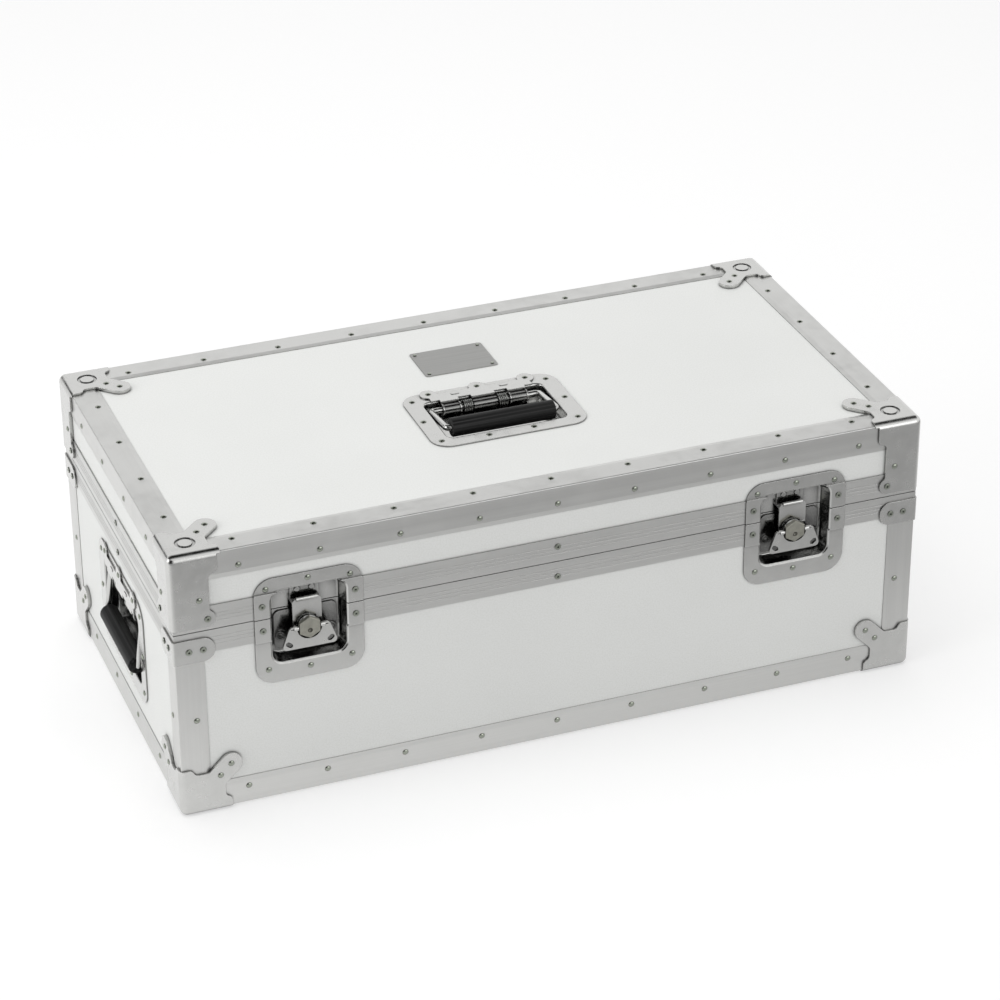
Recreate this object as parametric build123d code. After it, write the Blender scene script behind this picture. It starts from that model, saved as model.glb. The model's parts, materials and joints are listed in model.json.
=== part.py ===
from build123d import *
import os
from math import atan2, cos, degrees, pi, radians, sin, sqrt, tan

# A flight case for camera lenses: white laminated panels in aluminium edging, pressed steel corner caps,
# two recessed butterfly latches, three recessed sprung handles, a hinged lid and a foam interior.
# Millimetres. X runs along the case, the front faces -Y, Z is up, and the case stands on z = 0.

# Case shell, measured over the aluminium edging
case_length = 800.0
case_width = 416.0
base_height = 208.0
lid_height = 85.4
seam_gap = 0.9

# Panels and edging
panel_thickness = 7.0
edge_width = 30.0
edge_thickness = 1.5
edge_bevel_width = 5.0
edge_lip_thickness = 0.6
edge_corner_radius = 1.2

# Closure rails along the seam
base_rail_height = 24.5
lid_rail_height = 26.0
rail_inner_height = 15.0
base_rail_web = 5.0
lid_rail_web = 2.5
tongue_width = 3.0
tongue_height = 2.6
tongue_clearance = 0.8
rail_ridge_width = 1.2
rail_ridge_depth = 0.15
rail_ridge_spacing = 4.0

# Corner caps and braces, pressed steel
cap_thickness = 2.5
cap_corner_radius = 7.5
cap_leg_length = 51.0
cap_leg_width = 12.0
cap_body = 44.0
cap_tongue_reach = 51.0
cap_tongue_radius = 11.5
cap_blend_radius = 6.0
cap_leg_radius = 5.5
lid_cap_flange_reach = 47.0
lid_cap_flange_drop = 22.0
lid_cap_leg_reach = 37.5
lid_cap_seam_clearance = 4.9
lid_cap_tab_radius = 8.5
lid_cap_tab_reach = 35.0
lid_cap_tab_rise = 13.8
lid_cap_rivet_inset = 10.0
lid_cap_rivet_rise = 10.0
stacking_ring_reach = 23.0
stacking_ring_outer = 10.4
stacking_ring_inner = 7.0
stacking_ring_depth = 1.2
brace_thickness = 1.8
brace_drop = 7.2
brace_height = 26.0
brace_reach = 41.0
brace_end_radius = 12.0

# Rivets
rivet_head_radius = 3.2
rivet_head_height = 1.4
blind_head_height = 1.0
blind_head_edge_radius = 0.6 * blind_head_height
blind_hole_radius = 1.1
blind_hole_floor = 0.2
rivet_shank_radius = 1.6
rivet_hole_clearance = 0.05
edge_rivet_inset = 19.0
long_edge_rivets = 9
long_edge_rivet_end = 68.8
short_edge_rivets = 4
short_edge_rivet_end = 83.8
post_rivet_rise = 3.0
rail_rivet_drop = 17.5
rail_rivet_rise = 17.0
riveted_head_height = 1.2
riveted_head_edge = 0.8

# Latch dishes and their mechanism
latch_inset = 138.0
latch_dish_half_width = 56.0
latch_dish_above_seam = 43.8
latch_dish_below_seam = 74.8
latch_dish_corner = 20.0
latch_bowl_half_width = 39.2
latch_bowl_above_seam = 29.2
latch_bowl_below_seam = 54.5
latch_bowl_corner = 12.0
latch_bowl_depth = 15.0
latch_bowl_draft = 14.0
dish_sheet = 1.5
dish_cut_clearance = 1.0
latch_bowl_floor_radius = 3.0
latch_mouth_flare = 1.2
latch_side_rivet_margin = 8.6
latch_corner_rivet_margin = 4.1
latch_upper_corner_rivet = 32.6
latch_upper_middle_rivet = 37.6
latch_upper_side_rivet = 14.5
latch_lower_corner_rivet = 59.0
latch_lower_middle_rivet = 63.0
latch_lower_side_rivet = 13.0
spindle_below_seam = 18.5
spindle_radius = 4.0
spindle_clearance = 0.06
hex_across_flats = 21.0
hex_stand = 2.5
hex_head_depth = 2.0
hex_back_depth = 5.6
hex_chamfer = 0.6
hex_mark_radius = 2.6
hex_mark_drop = 3.0
hex_mark_depth = 2.0
spindle_hub_radius = 8.8
spindle_tail = 2.0
spindle_collar_gap = 0.3
wing_spring_coil_radius = 9.8
wing_spring_wire_radius = 0.6
wing_spring_pitch = 1.25
wing_spring_turns = 1.75
eccentric_offset = 4.0
eccentric_radius = 7.5
hook_gap = 0.4
hook_thickness = 2.4
hook_half_width = 15.0
hook_eye_radius = 12.5
hook_top_above_seam = 10.8
hook_bead_radius = 1.9
hook_corner_radius = 4.0
cam_disc_radius = 10.0
cam_disc_thickness = 1.8
spindle_collar_radius = 7.0
spindle_collar_thickness = 1.5
mechanism_plate_thickness = 1.5
mechanism_plate_half_width = 32.5
mechanism_plate_above_spindle = 16.0
mechanism_plate_below_spindle = 27.0
mechanism_plate_corner = 6.0
mechanism_rivet_reach = 26.5
mechanism_rivet_drop = 12.0
mechanism_rivet_radius = 5.0
mechanism_ring_radius = 3.4
mechanism_ring_width = 0.8
mechanism_ring_depth = 0.4
wing_thickness = 2.6
wing_stand = 1.0
wing_drop = 22.5
wing_bottom_half_width = 29.5
wing_top_half_width = 20.5
wing_corner_radius = 4.0
wing_notch_radius = 12.8
wing_slot_reach = 21.5
wing_slot_drop = 16.5
wing_slot_radius = 2.5
wing_slot_length = 3.0
wing_slot_tilt = 40.0
wing_barrel_radius = 2.3
wing_barrel_length = 5.0
wing_pin_radius = 1.25
wing_pin_clearance = 0.08
wing_side_gap = 0.6
keeper_thickness = 1.5
keeper_half_width = 15.0
keeper_above_seam = 6.0
keeper_lip_thickness = 2.0
keeper_hook_gap = 0.6
keeper_rivet_reach = 7.5
keeper_rivet_above_seam = 18.6

# Sprung handles: dish, hinge plate, bail, grip and springs
handle_dish_length = 170.0
handle_dish_width = 118.6
handle_dish_corner = 20.0
handle_bowl_length = 132.0
handle_bowl_width = 81.0
handle_bowl_corner = 8.0
handle_bowl_draft = 6.0
handle_bowl_offset = -2.0
bail_rod_radius = 3.5
bail_width = 121.0
bail_reach = 52.0
bail_bend_radius = 5.0
bail_pivot_depth = 6.5
bail_pivot_inset = 9.0
grip_radius = 10.0
grip_length = 113.0
grip_stand = 0.5
grip_bore_clearance = 0.05
grip_end_radius = 1.5
bail_knuckle_wall = 1.5
bail_knuckle_clearance = 0.08
bail_knuckle_length = 20.0
bail_knuckle_offset = 37.0
bail_knuckle_rim_height = 1.0
bail_knuckle_rim_width = 1.2
hinge_barrel_length = 26.0
hinge_plate_half_length = 56.0
hinge_plate_lobe_radius = 9.0
hinge_plate_rivet_reach = 54.0
hinge_plate_rivet_height = 53.5
hinge_plate_mark_offset = 27.0
hinge_plate_mark_length = 9.0
hinge_plate_mark_width = 3.6
hinge_plate_mark_height = 0.6
hinge_plate_overhang = 1.0
hinge_plate_lobe_rise = 2.0
handle_mouth_radius = 2.0
handle_floor_radius = 3.0
handle_corner_rivet_u = 10.5
handle_corner_rivet_v = 13.8
handle_side_rivet_inset = 7.0
handle_near_rivet_u = 24.5
handle_near_rivet_v = 9.3
spring_wire_radius = 0.7
spring_coil_radius = 6.0
spring_pitch = 2.0
spring_turns = 5
spring_offset = 14.0
spring_leg_length = 12.0
spring_seat_gap = 0.3
top_handle_y = -30.0
side_handle_rise = 6.0

# Hinges at the back
hinge_inset = 150.0
hinge_leaf_length = 60.0
hinge_leaf_height = 23.0
hinge_leaf_thickness = 2.0
hinge_axis_stand = 4.4
hinge_knuckle_radius = 4.0
hinge_pin_radius = 2.5
hinge_pin_clearance = 0.06
hinge_knuckle_gap = 0.3
hinge_web_overlap = 1.0
hinge_rivet_reach = 20.0
hinge_rivet_drop = 13.0
lid_open_angle = 100.0
stop_lip_length = 6.5
stop_lip_thickness = 1.8
stop_lip_clearance = 0.4

# Name plate, left bare
name_plate_length = 81.0
name_plate_width = 56.0
name_plate_thickness = 1.0
name_plate_corner = 3.0
name_plate_y = 94.0
plate_screw_radius = 2.0
plate_screw_height = 0.8
plate_screw_inset = 5.0

# Foam interior
foam_gap = 0.3
foam_floor_thickness = 25.0
foam_wall_thickness = 25.0
foam_divider_thickness = 15.0
foam_lid_thickness = 30.0
foam_recess_clearance = 1.5
foam_spindle_clearance = 2.0
pocket_columns = 4

# How far cutting shapes run past what they cut, and how near two edges count as the same
cut_overrun = 1.0
wing_bore_overrun = 3.0
drill_margin = 4.0
drill_depth_past = 0.8
drill_height_past = 3.0
spindle_bore_overrun = 5.0
cut_reach = 10.0
cap_block_length = 120.0
same_place = 0.01

# Places worked out from the sizes above
half_length = case_length / 2
half_width = case_width / 2
z_bottom = cap_thickness
z_seam = z_bottom + base_height
z_top = z_seam + lid_height
latch_offset = half_length - latch_inset
hinge_offset = half_length - hinge_inset
side_handle_z = z_bottom + base_height / 2 + side_handle_rise
z_base_mouth = z_seam - seam_gap / 2
z_lid_mouth = z_seam + seam_gap / 2
panel_inset = edge_thickness
inner_inset = panel_inset + panel_thickness
rail_depth = inner_inset + edge_thickness
hook_front = hex_back_depth + hook_gap
hook_back = hook_front + hook_thickness
disc_front = hook_back + hook_gap
keeper_lip_front = hook_back + keeper_hook_gap
latch_wall_lean = (latch_bowl_depth + dish_sheet) * tan(radians(latch_bowl_draft))
latch_floor_inset = latch_wall_lean + latch_bowl_floor_radius
keeper_top = latch_bowl_above_seam - latch_floor_inset
handle_bowl_depth = bail_pivot_depth + spring_coil_radius + spring_wire_radius + spring_seat_gap
handle_bowl_top = handle_bowl_offset + handle_bowl_width / 2
bail_pivot_v = handle_bowl_top - bail_pivot_inset
hinge_axis_y = half_width + hinge_axis_stand

FACES = {
    "front": ((1, 0, 0), (0, -1, 0)),
    "back": ((-1, 0, 0), (0, 1, 0)),
    "left": ((0, -1, 0), (-1, 0, 0)),
    "right": ((0, 1, 0), (1, 0, 0)),
    "top": ((1, 0, 0), (0, 0, 1)),
    "bottom": ((1, 0, 0), (0, 0, -1)),
}
SIDES = (("left", -1), ("right", 1))


def face_point(face, a, b):
    """The point of a face of the edging at a along it and b across or up it."""
    points = {
        "front": (a, -half_width, b),
        "back": (a, half_width, b),
        "left": (-half_length, a, b),
        "right": (half_length, a, b),
        "top": (a, b, z_top),
        "bottom": (a, b, z_bottom),
    }
    return points[face]


def on_face(face, a, b):
    """The place on a face where local X runs along it, local Y up or across it and local Z out of it."""
    along, outward = FACES[face]
    return Plane(origin=face_point(face, a, b), x_dir=along, z_dir=outward).location


def block(x0, x1, y0, y1, z0, z1):
    """A box between two corners."""
    middle = Pos((x0 + x1) / 2, (y0 + y1) / 2, (z0 + z1) / 2)
    return middle * Box(x1 - x0, y1 - y0, z1 - z0)


def patch(u0, u1, v0, v1, corner=0):
    """A flat rectangle between two corners, with round corners where a radius is given."""
    middle = Pos((u0 + u1) / 2, (v0 + v1) / 2)
    if corner:
        return middle * RectangleRounded(u1 - u0, v1 - v0, corner)
    return middle * Rectangle(u1 - u0, v1 - v0)


def rod(radius, start, end):
    """A round bar from one point to another."""
    axis = Vector(*end) - Vector(*start)
    plane = Plane(origin=start, z_dir=axis)
    return plane.location * Cylinder(radius, axis.length, align=(Align.CENTER, Align.CENTER, Align.MIN))


def solids_of(shape):
    """The separate solids of a shape or of a list of shapes."""
    if isinstance(shape, (list, tuple)):
        return [solid for one in shape for solid in solids_of(one)]
    return list(shape.solids())


def write_node(name, shape):
    """Writes one node's file."""
    pieces = solids_of(shape)
    whole = pieces[0] if len(pieces) == 1 else Compound(children=pieces)
    whole.label = name
    export_step(whole, f"parts/{name}.step")


def mirrored(shape, across_x=False, across_y=False):
    """A shape mirrored left to right, front to back, or both."""
    if across_x:
        shape = mirror(shape, about=Plane.YZ)
    if across_y:
        shape = mirror(shape, about=Plane.XZ)
    return shape


def at_four_corners(shape):
    """A front left corner piece and its mirror images at the other three corners."""
    return [mirrored(shape, across_x, across_y) for across_x in (False, True) for across_y in (False, True)]


# Rivets: each is a place on a face, how far the sheet it holds stands out from the edging, and its kind

def rivet(kind, stand):
    """A domed, flush or blind rivet, the last with its mandrel hole, whose shank ends on the panel."""
    shank = rod(rivet_shank_radius, (0, 0, -panel_inset - stand), (0, 0, 0))
    if kind == "flush":
        return shank
    if kind == "blind":
        head = Cylinder(rivet_head_radius, blind_head_height, align=(Align.CENTER, Align.CENTER, Align.MIN))
        head = fillet(head.edges().group_by(Axis.Z)[-1], blind_head_edge_radius)
        top = blind_head_height + cut_overrun
        mandrel_hole = rod(blind_hole_radius, (0, 0, blind_hole_floor), (0, 0, top))
        return head - mandrel_hole + shank
    dome_radius = (rivet_head_radius**2 + rivet_head_height**2) / (2 * rivet_head_height)
    dome = Pos(0, 0, rivet_head_height - dome_radius) * Sphere(dome_radius)
    wide = 4 * rivet_head_radius
    slab = Pos(0, 0, rivet_head_height / 2) * Box(wide, wide, rivet_head_height)
    return (dome & slab) + shank


def make_rivets(places):
    """All the rivets of a list of places."""
    patterns = {}
    rivets = []
    for face, a, b, stand, kind in places:
        if (kind, stand) not in patterns:
            patterns[kind, stand] = rivet(kind, stand)
        rivets.append(on_face(face, a, b) * Pos(0, 0, stand) * patterns[kind, stand])
    return rivets


def drill(sheet, places):
    """A sheet piece with the holes of the rivets that pass through its bounds."""
    reach = rivet_shank_radius + rivet_hole_clearance
    margin = reach + drill_margin
    room = sheet.bounding_box()
    low = room.min - Vector(margin, margin, margin)
    high = room.max + Vector(margin, margin, margin)
    bits = []
    for face, a, b, stand, kind in places:
        point = Vector(*face_point(face, a, b))
        inside = low.X < point.X < high.X and low.Y < point.Y < high.Y and low.Z < point.Z < high.Z
        if inside:
            bottom = -panel_inset - drill_depth_past
            bits.append(on_face(face, a, b) * rod(reach, (0, 0, bottom), (0, 0, stand + drill_height_past)))
    return sheet - bits if bits else sheet


def edge_rivet_places(z_flange, flat_face):
    """The rivets of the edge angles round the lid's top or the base's bottom, on both flanges."""
    places = []
    for i in range(long_edge_rivets):
        x = (2 * i / (long_edge_rivets - 1) - 1) * (half_length - long_edge_rivet_end)
        places += [("front", x, z_flange, 0, "domed"), ("back", x, z_flange, 0, "domed")]
        places += [(flat_face, x, side * (half_width - edge_rivet_inset), 0, "domed") for side in (-1, 1)]
    for i in range(short_edge_rivets):
        y = (2 * i / (short_edge_rivets - 1) - 1) * (half_width - short_edge_rivet_end)
        places += [("left", y, z_flange, 0, "domed"), ("right", y, z_flange, 0, "domed")]
        places += [(flat_face, side * (half_length - edge_rivet_inset), y, 0, "domed") for side in (-1, 1)]
    return places


def rail_rivet_places(z):
    """One blind rivet at the middle of each closure rail."""
    return [(face, 0, z, 0, "blind") for face in ("front", "back", "left", "right")]


def corner_places(reach, z, stand, kind):
    """Rivets on the upright faces at all four corners, at one distance from the corner."""
    places = []
    for side in (-1, 1):
        x = side * (half_length - reach)
        y = side * (half_width - reach)
        places += [("front", x, z, stand, kind), ("back", x, z, stand, kind)]
        places += [("left", y, z, stand, kind), ("right", y, z, stand, kind)]
    return places


def flat_corner_places(face, reach, stand, kind):
    """Rivets on the top or bottom face at all four corners, on the corner's diagonal."""
    return [
        (face, sx * (half_length - reach), sy * (half_width - reach), stand, kind)
        for sx in (-1, 1)
        for sy in (-1, 1)
    ]


cap_tip_rivet = cap_tongue_reach
cap_neck_rivet = cap_tongue_reach - cap_tongue_radius
brace_rivet_z = z_seam - brace_drop - brace_height / 2
brace_tip_rivet = brace_reach - brace_end_radius
lid_tab_rivet_z = z_seam + lid_cap_tab_rise
lid_leg_rivet_z = z_seam + lid_rail_height + lid_cap_rivet_rise

base_places = edge_rivet_places(z_bottom + edge_rivet_inset, "bottom")
base_places += rail_rivet_places(z_seam - rail_rivet_drop)
base_places += corner_places(edge_rivet_inset, z_bottom + base_height / 2 + post_rivet_rise, 0, "domed")
for reach in (cap_tip_rivet, cap_neck_rivet):
    base_places += corner_places(reach, z_bottom + reach, cap_thickness, "domed")
    base_places += flat_corner_places("bottom", reach, cap_thickness, "flush")
for reach in (brace_tip_rivet, brace_tip_rivet / 2):
    base_places += corner_places(reach, brace_rivet_z, brace_thickness, "blind")

lid_places = edge_rivet_places(z_top - edge_rivet_inset, "top")
lid_places += rail_rivet_places(z_seam + rail_rivet_rise)
for reach in (cap_tip_rivet, cap_neck_rivet):
    lid_places += flat_corner_places("top", reach, cap_thickness, "domed")
lid_places += corner_places(lid_cap_tab_reach, lid_tab_rivet_z, cap_thickness, "blind")
lid_leg_rivet_reach = lid_cap_leg_reach - lid_cap_rivet_inset
lid_places += corner_places(lid_leg_rivet_reach, lid_leg_rivet_z, cap_thickness, "domed")


def hinge_rivet_places(sign):
    """The rivets of the base leaves, sign -1, or of the lid leaves, sign 1."""
    return [
        ("back", side * hinge_offset + dx, z_seam + sign * hinge_rivet_drop, hinge_leaf_thickness, "domed")
        for side in (-1, 1)
        for dx in (-hinge_rivet_reach, hinge_rivet_reach)
    ]


base_places += hinge_rivet_places(-1)
lid_places += hinge_rivet_places(1)


def latch_rivet_places(x, upper):
    """The rivets round the flange of one latch dish, for its lid half or its base half."""
    side = latch_bowl_half_width + latch_side_rivet_margin
    corner = latch_bowl_half_width + latch_corner_rivet_margin
    heights = (latch_upper_corner_rivet, latch_upper_middle_rivet, latch_upper_side_rivet)
    if not upper:
        heights = (-latch_lower_corner_rivet, -latch_lower_middle_rivet, -latch_lower_side_rivet)
    corner_v, middle_v, side_v = heights
    rows = [(-corner, corner_v, 0, "domed"), (0, middle_v, 0, "domed"), (corner, corner_v, 0, "domed")]
    rows += [(-side, side_v, dish_sheet, "blind"), (side, side_v, dish_sheet, "blind")]
    return [("front", x + du, z_seam + dv, stand, kind) for du, dv, stand, kind in rows]


latch_upper_places = [p for _, side in SIDES for p in latch_rivet_places(side * latch_offset, True)]
latch_lower_places = [p for _, side in SIDES for p in latch_rivet_places(side * latch_offset, False)]


def handle_rivet_places(face, a, b):
    """The rivets round the flange of one handle dish, with those that also hold its hinge plate."""
    corner_u = handle_dish_length / 2 - handle_corner_rivet_u
    corner_v = handle_dish_width / 2 - handle_corner_rivet_v
    side_u = handle_dish_length / 2 - handle_side_rivet_inset
    near_v = handle_near_rivet_v - handle_dish_width / 2
    rows = [(su * corner_u, sv * corner_v, 0) for su in (-1, 1) for sv in (-1, 1)]
    rows += [(su * side_u, 0, 0) for su in (-1, 1)]
    rows += [(su * handle_near_rivet_u, near_v, 0) for su in (-1, 1)]
    rows += [(su * hinge_plate_rivet_reach, hinge_plate_rivet_height, dish_sheet) for su in (-1, 0, 1)]
    along = FACES[face][0]
    sign = sum(along)
    return [(face, a + sign * u, b + v, stand, "domed") for u, v, stand in rows]


side_handle_places = handle_rivet_places("left", 0, side_handle_z)
side_handle_places += handle_rivet_places("right", 0, side_handle_z)
top_handle_places = handle_rivet_places("top", 0, top_handle_y)


# Cut-outs that the dishes need in the panels and rails

def latch_bowl_outline(grow):
    """The mouth of a latch bowl about the seam, grown all round."""
    return patch(
        -latch_bowl_half_width - grow,
        latch_bowl_half_width + grow,
        -latch_bowl_below_seam - grow,
        latch_bowl_above_seam + grow,
        latch_bowl_corner + grow,
    )


def handle_bowl_outline(grow):
    """The mouth of a handle bowl about the dish's middle, grown all round."""
    half = handle_bowl_length / 2 + grow
    low = handle_bowl_offset - handle_bowl_width / 2 - grow
    high = handle_bowl_top + grow
    return patch(-half, half, low, high, handle_bowl_corner + grow)


def pierce(face, a, b, outline, depth):
    """A prism that goes in from outside a face to a depth below the edging."""
    prism = extrude(outline, amount=depth + cut_reach)
    return on_face(face, a, b) * Pos(0, 0, -depth) * prism


cut_grow = dish_sheet + dish_cut_clearance
latch_cuts = [
    pierce("front", side * latch_offset, z_seam, latch_bowl_outline(cut_grow), rail_depth + cut_overrun)
    for _, side in SIDES
]
handle_cuts = {
    name: pierce(name, 0, height, handle_bowl_outline(cut_grow), inner_inset + cut_overrun)
    for name, height in (("left", side_handle_z), ("right", side_handle_z), ("top", top_handle_y))
}


# Panels

def make_panels():
    """The ten laminated plywood panels by node name, cut out for the dishes."""
    out_x = half_length - panel_inset
    out_y = half_width - panel_inset
    in_x = half_length - inner_inset
    in_y = half_width - inner_inset
    z_floor = z_bottom + panel_inset
    z_floor_top = z_floor + panel_thickness
    z_base_edge = z_base_mouth - base_rail_web
    z_lid_edge = z_lid_mouth + lid_rail_web
    z_roof = z_top - panel_inset
    z_roof_under = z_roof - panel_thickness
    panels = {
        "base_floor_panel": block(-out_x, out_x, -out_y, out_y, z_floor, z_floor_top),
        "lid_top_panel": block(-out_x, out_x, -out_y, out_y, z_roof_under, z_roof) - handle_cuts["top"],
    }
    for part, low, high in (("base", z_floor_top, z_base_edge), ("lid", z_lid_edge, z_roof_under)):
        panels[f"{part}_front_panel"] = block(-out_x, out_x, -out_y, -in_y, low, high) - latch_cuts
        panels[f"{part}_back_panel"] = block(-out_x, out_x, in_y, out_y, low, high)
        for name, side in SIDES:
            x0, x1 = sorted((side * in_x, side * out_x))
            panels[f"{part}_{name}_panel"] = block(x0, x1, -in_y, in_y, low, high)
    for name, _ in SIDES:
        panels[f"base_{name}_panel"] = panels[f"base_{name}_panel"] - handle_cuts[name]
    return panels


# Aluminium edging: each run is drawn for the front, at y = -reach, and turned to the other three sides

def mitre_wedge(length, reach, depth):
    """The room of one side of a mitred frame."""
    outer = length / 2
    inner = outer - depth
    corners = [(-outer, -reach), (outer, -reach), (inner, depth - reach), (-inner, depth - reach)]
    section = make_face(Polyline(*corners, close=True))
    return Pos(0, 0, -edge_width) * extrude(section, amount=z_top + 2 * edge_width)


def mitred_frame(profile):
    """Four mitred runs of a profile, whose X is the distance in from the outer face and Y is the height."""
    runs = []
    for length, reach, angle in (
        (case_length, half_width, 0),
        (case_width, half_length, 90),
        (case_length, half_width, 180),
        (case_width, half_length, 270),
    ):
        end = Plane(origin=(-length / 2, -reach, 0), x_dir=(0, 1, 0), z_dir=(1, 0, 0))
        run = extrude(end.location * profile, amount=length, dir=(1, 0, 0))
        runs.append(Rot(0, 0, angle) * (run & mitre_wedge(length, reach, edge_width + cut_reach)))
    return runs


def angle_profile():
    """An edge angle's section with its outer corner at the origin and its free edges bevelled outside."""
    thin = edge_thickness - edge_lip_thickness
    corners = [
        (0, 0),
        (edge_width - edge_bevel_width, 0),
        (edge_width, thin),
        (edge_width, edge_thickness),
        (edge_thickness, edge_thickness),
        (edge_thickness, edge_width),
        (thin, edge_width),
        (0, edge_width - edge_bevel_width),
    ]
    section = make_face(Polyline(*corners, close=True))
    outer_corner = section.vertices().sort_by(lambda v: v.X + v.Y)[0]
    return fillet(outer_corner, edge_corner_radius)


def edge_frame(z_corner, upward, places):
    """The mitred edge angles round the bottom, or upside down round the top, rounded under the caps."""
    profile = angle_profile()
    if not upward:
        profile = mirror(profile, about=Plane.XZ)
    room = Box(case_length, case_width, 3 * z_top)
    room = fillet(room.edges().filter_by(Axis.Z), cap_corner_radius - cap_thickness)
    return [drill(run & room, places) for run in mitred_frame(Pos(0, z_corner) * profile)]


def corner_posts(z_low, z_high, places):
    """The four upright edge angles between the edge frame and the closure rails."""
    section = Pos(-half_length, -half_width) * angle_profile()
    post = Pos(0, 0, z_low) * extrude(section, amount=z_high - z_low)
    return [drill(one, places) for one in at_four_corners(post)]


def rail_profile(height, web):
    """A closure rail's channel, down from its mating face at height 0, with ridges along its outer face."""
    shape = patch(0, edge_thickness, -height, 0)
    shape += patch(0, rail_depth, -web, 0)
    shape += patch(inner_inset, rail_depth, -rail_inner_height, 0)
    for i in (1, 2, 3):
        drop = height / 2 + (i - 2) * rail_ridge_spacing
        shape -= patch(-1, rail_ridge_depth, -drop - rail_ridge_width / 2, -drop + rail_ridge_width / 2)
    return shape


def base_rails(places):
    """The grooved closure rails round the base's mouth, notched for the latch dishes."""
    middle = rail_depth / 2
    reach = tongue_width / 2 + tongue_clearance
    groove = patch(middle - reach, middle + reach, -tongue_height - tongue_clearance, 1)
    profile = Pos(0, z_base_mouth) * (rail_profile(base_rail_height, base_rail_web) - groove)
    return [drill(run - latch_cuts, places) for run in mitred_frame(profile)]


def lid_rails(places):
    """The tongued closure rails round the lid's mouth, notched for the latch dishes."""
    middle = rail_depth / 2
    tongue = patch(middle - tongue_width / 2, middle + tongue_width / 2, -tongue_height, 0)
    channel = mirror(rail_profile(lid_rail_height, lid_rail_web), about=Plane.XZ)
    profile = Pos(0, z_lid_mouth) * (channel + tongue)
    return [drill(run - latch_cuts, places) for run in mitred_frame(profile)]


# Corner caps and braces, drawn at the front left corner in distances in from the edging's corner

def lobed_outline():
    """A cap face: a leg along each edge and a round tongue on the diagonal."""
    low = -cap_thickness
    shape = patch(low, cap_leg_width, low, cap_leg_length)
    shape += patch(low, cap_leg_length, low, cap_leg_width)
    shape += patch(low, cap_body, low, cap_body)
    reach = cap_tongue_reach * sqrt(2)
    strip = Pos(reach / 2, 0) * Rectangle(reach, 2 * cap_tongue_radius)
    shape += Rot(0, 0, 45) * strip
    shape += Pos(cap_tongue_reach, cap_tongue_reach) * Circle(cap_tongue_radius)
    wave = soften(shape)
    wave += patch(low, cap_leg_width / 2, low, cap_leg_length)
    return wave + patch(low, cap_leg_length, low, cap_leg_width / 2)


def lid_side_outline():
    """An upright face of a lid cap, measured down from the top: a wide flange, and a tab on the rail."""
    low = -cap_thickness
    bottom = lid_height - lid_cap_seam_clearance
    shape = patch(low, lid_cap_flange_reach, low, lid_cap_flange_drop)
    shape += patch(low, lid_cap_leg_reach, low, bottom)
    shape += Pos(lid_cap_tab_reach, lid_height - lid_cap_tab_rise) * Circle(lid_cap_tab_radius)
    wave = soften(shape)
    wave += patch(low, lid_cap_flange_reach, low, lid_cap_flange_drop / 2)
    return wave + patch(low, lid_cap_leg_reach / 2, low, bottom)


def soften(shape):
    """An outline whose hollow corners, and then its outer ones, are rounded."""
    for radius in (cap_blend_radius, -cap_leg_radius):
        shape = offset(offset(shape, amount=radius, kind=Kind.ARC), amount=-radius, kind=Kind.ARC)
    return shape


def corner_plate(outline, plane):
    """A cap face as a plate from the panel's outer face out to the cap's."""
    return plane.location * extrude(outline, amount=edge_thickness + cap_thickness)


def rounded_corner(corner, inward):
    """A box that starts at a cap's outer corner and runs inward, with its three edges there rounded."""
    away = [c + way * cap_block_length for c, way in zip(corner, inward)]
    x, y, z = (sorted(pair) for pair in zip(corner, away))
    box = block(*x, *y, *z)
    edges = [edge for edge in box.edges() if edge.distance_to(Vector(*corner)) < same_place]
    return fillet(edges, cap_corner_radius)


front_left_x = -half_length
front_left_y = -half_width


def upright_planes(z_corner, up):
    """Where the front and the left plate of a corner piece start, with their second axis up or down."""
    inset = panel_inset
    front = Plane(origin=(front_left_x, front_left_y + inset, z_corner), x_dir=(1, 0, 0), z_dir=(0, -1, 0))
    left = Plane(origin=(front_left_x + inset, front_left_y, z_corner), x_dir=(0, 0, up), z_dir=(-1, 0, 0))
    return front, left


def base_cap(carriers):
    """A bottom corner cap, fitted over what carries it."""
    outline = lobed_outline()
    front, left = upright_planes(z_bottom, 1)
    corner = (front_left_x, front_left_y, z_bottom + panel_inset)
    under = Plane(origin=corner, x_dir=(0, 1, 0), z_dir=(0, 0, -1))
    cap = corner_plate(outline, front)
    cap += corner_plate(outline, left)
    cap += corner_plate(outline, under)
    outer = (front_left_x - cap_thickness, front_left_y - cap_thickness, z_bottom - cap_thickness)
    return (cap & rounded_corner(outer, (1, 1, 1))) - carriers


def lid_cap(carriers):
    """A lid corner cap with a stacking ring pressed into its top, fitted over what carries it."""
    side_outline = lid_side_outline()
    turned = mirror(side_outline, about=Plane.XZ)
    front = Plane(
        origin=(front_left_x, front_left_y + panel_inset, z_top), x_dir=(1, 0, 0), z_dir=(0, -1, 0)
    )
    cap = corner_plate(turned, front)
    cap += mirror(corner_plate(turned, front), about=diagonal_plane())
    over = Plane(origin=(front_left_x, front_left_y, z_top - panel_inset), x_dir=(1, 0, 0), z_dir=(0, 0, 1))
    cap += corner_plate(lobed_outline(), over)
    outer = (front_left_x - cap_thickness, front_left_y - cap_thickness, z_top + cap_thickness)
    cap = cap & rounded_corner(outer, (1, 1, -1))
    ring = Circle(stacking_ring_outer) - Circle(stacking_ring_inner)
    ring_x = front_left_x + stacking_ring_reach
    ring_y = front_left_y + stacking_ring_reach
    ring_place = Pos(ring_x, ring_y, z_top + cap_thickness)
    cap -= ring_place * extrude(ring, amount=-stacking_ring_depth)
    return cap - carriers


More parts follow.
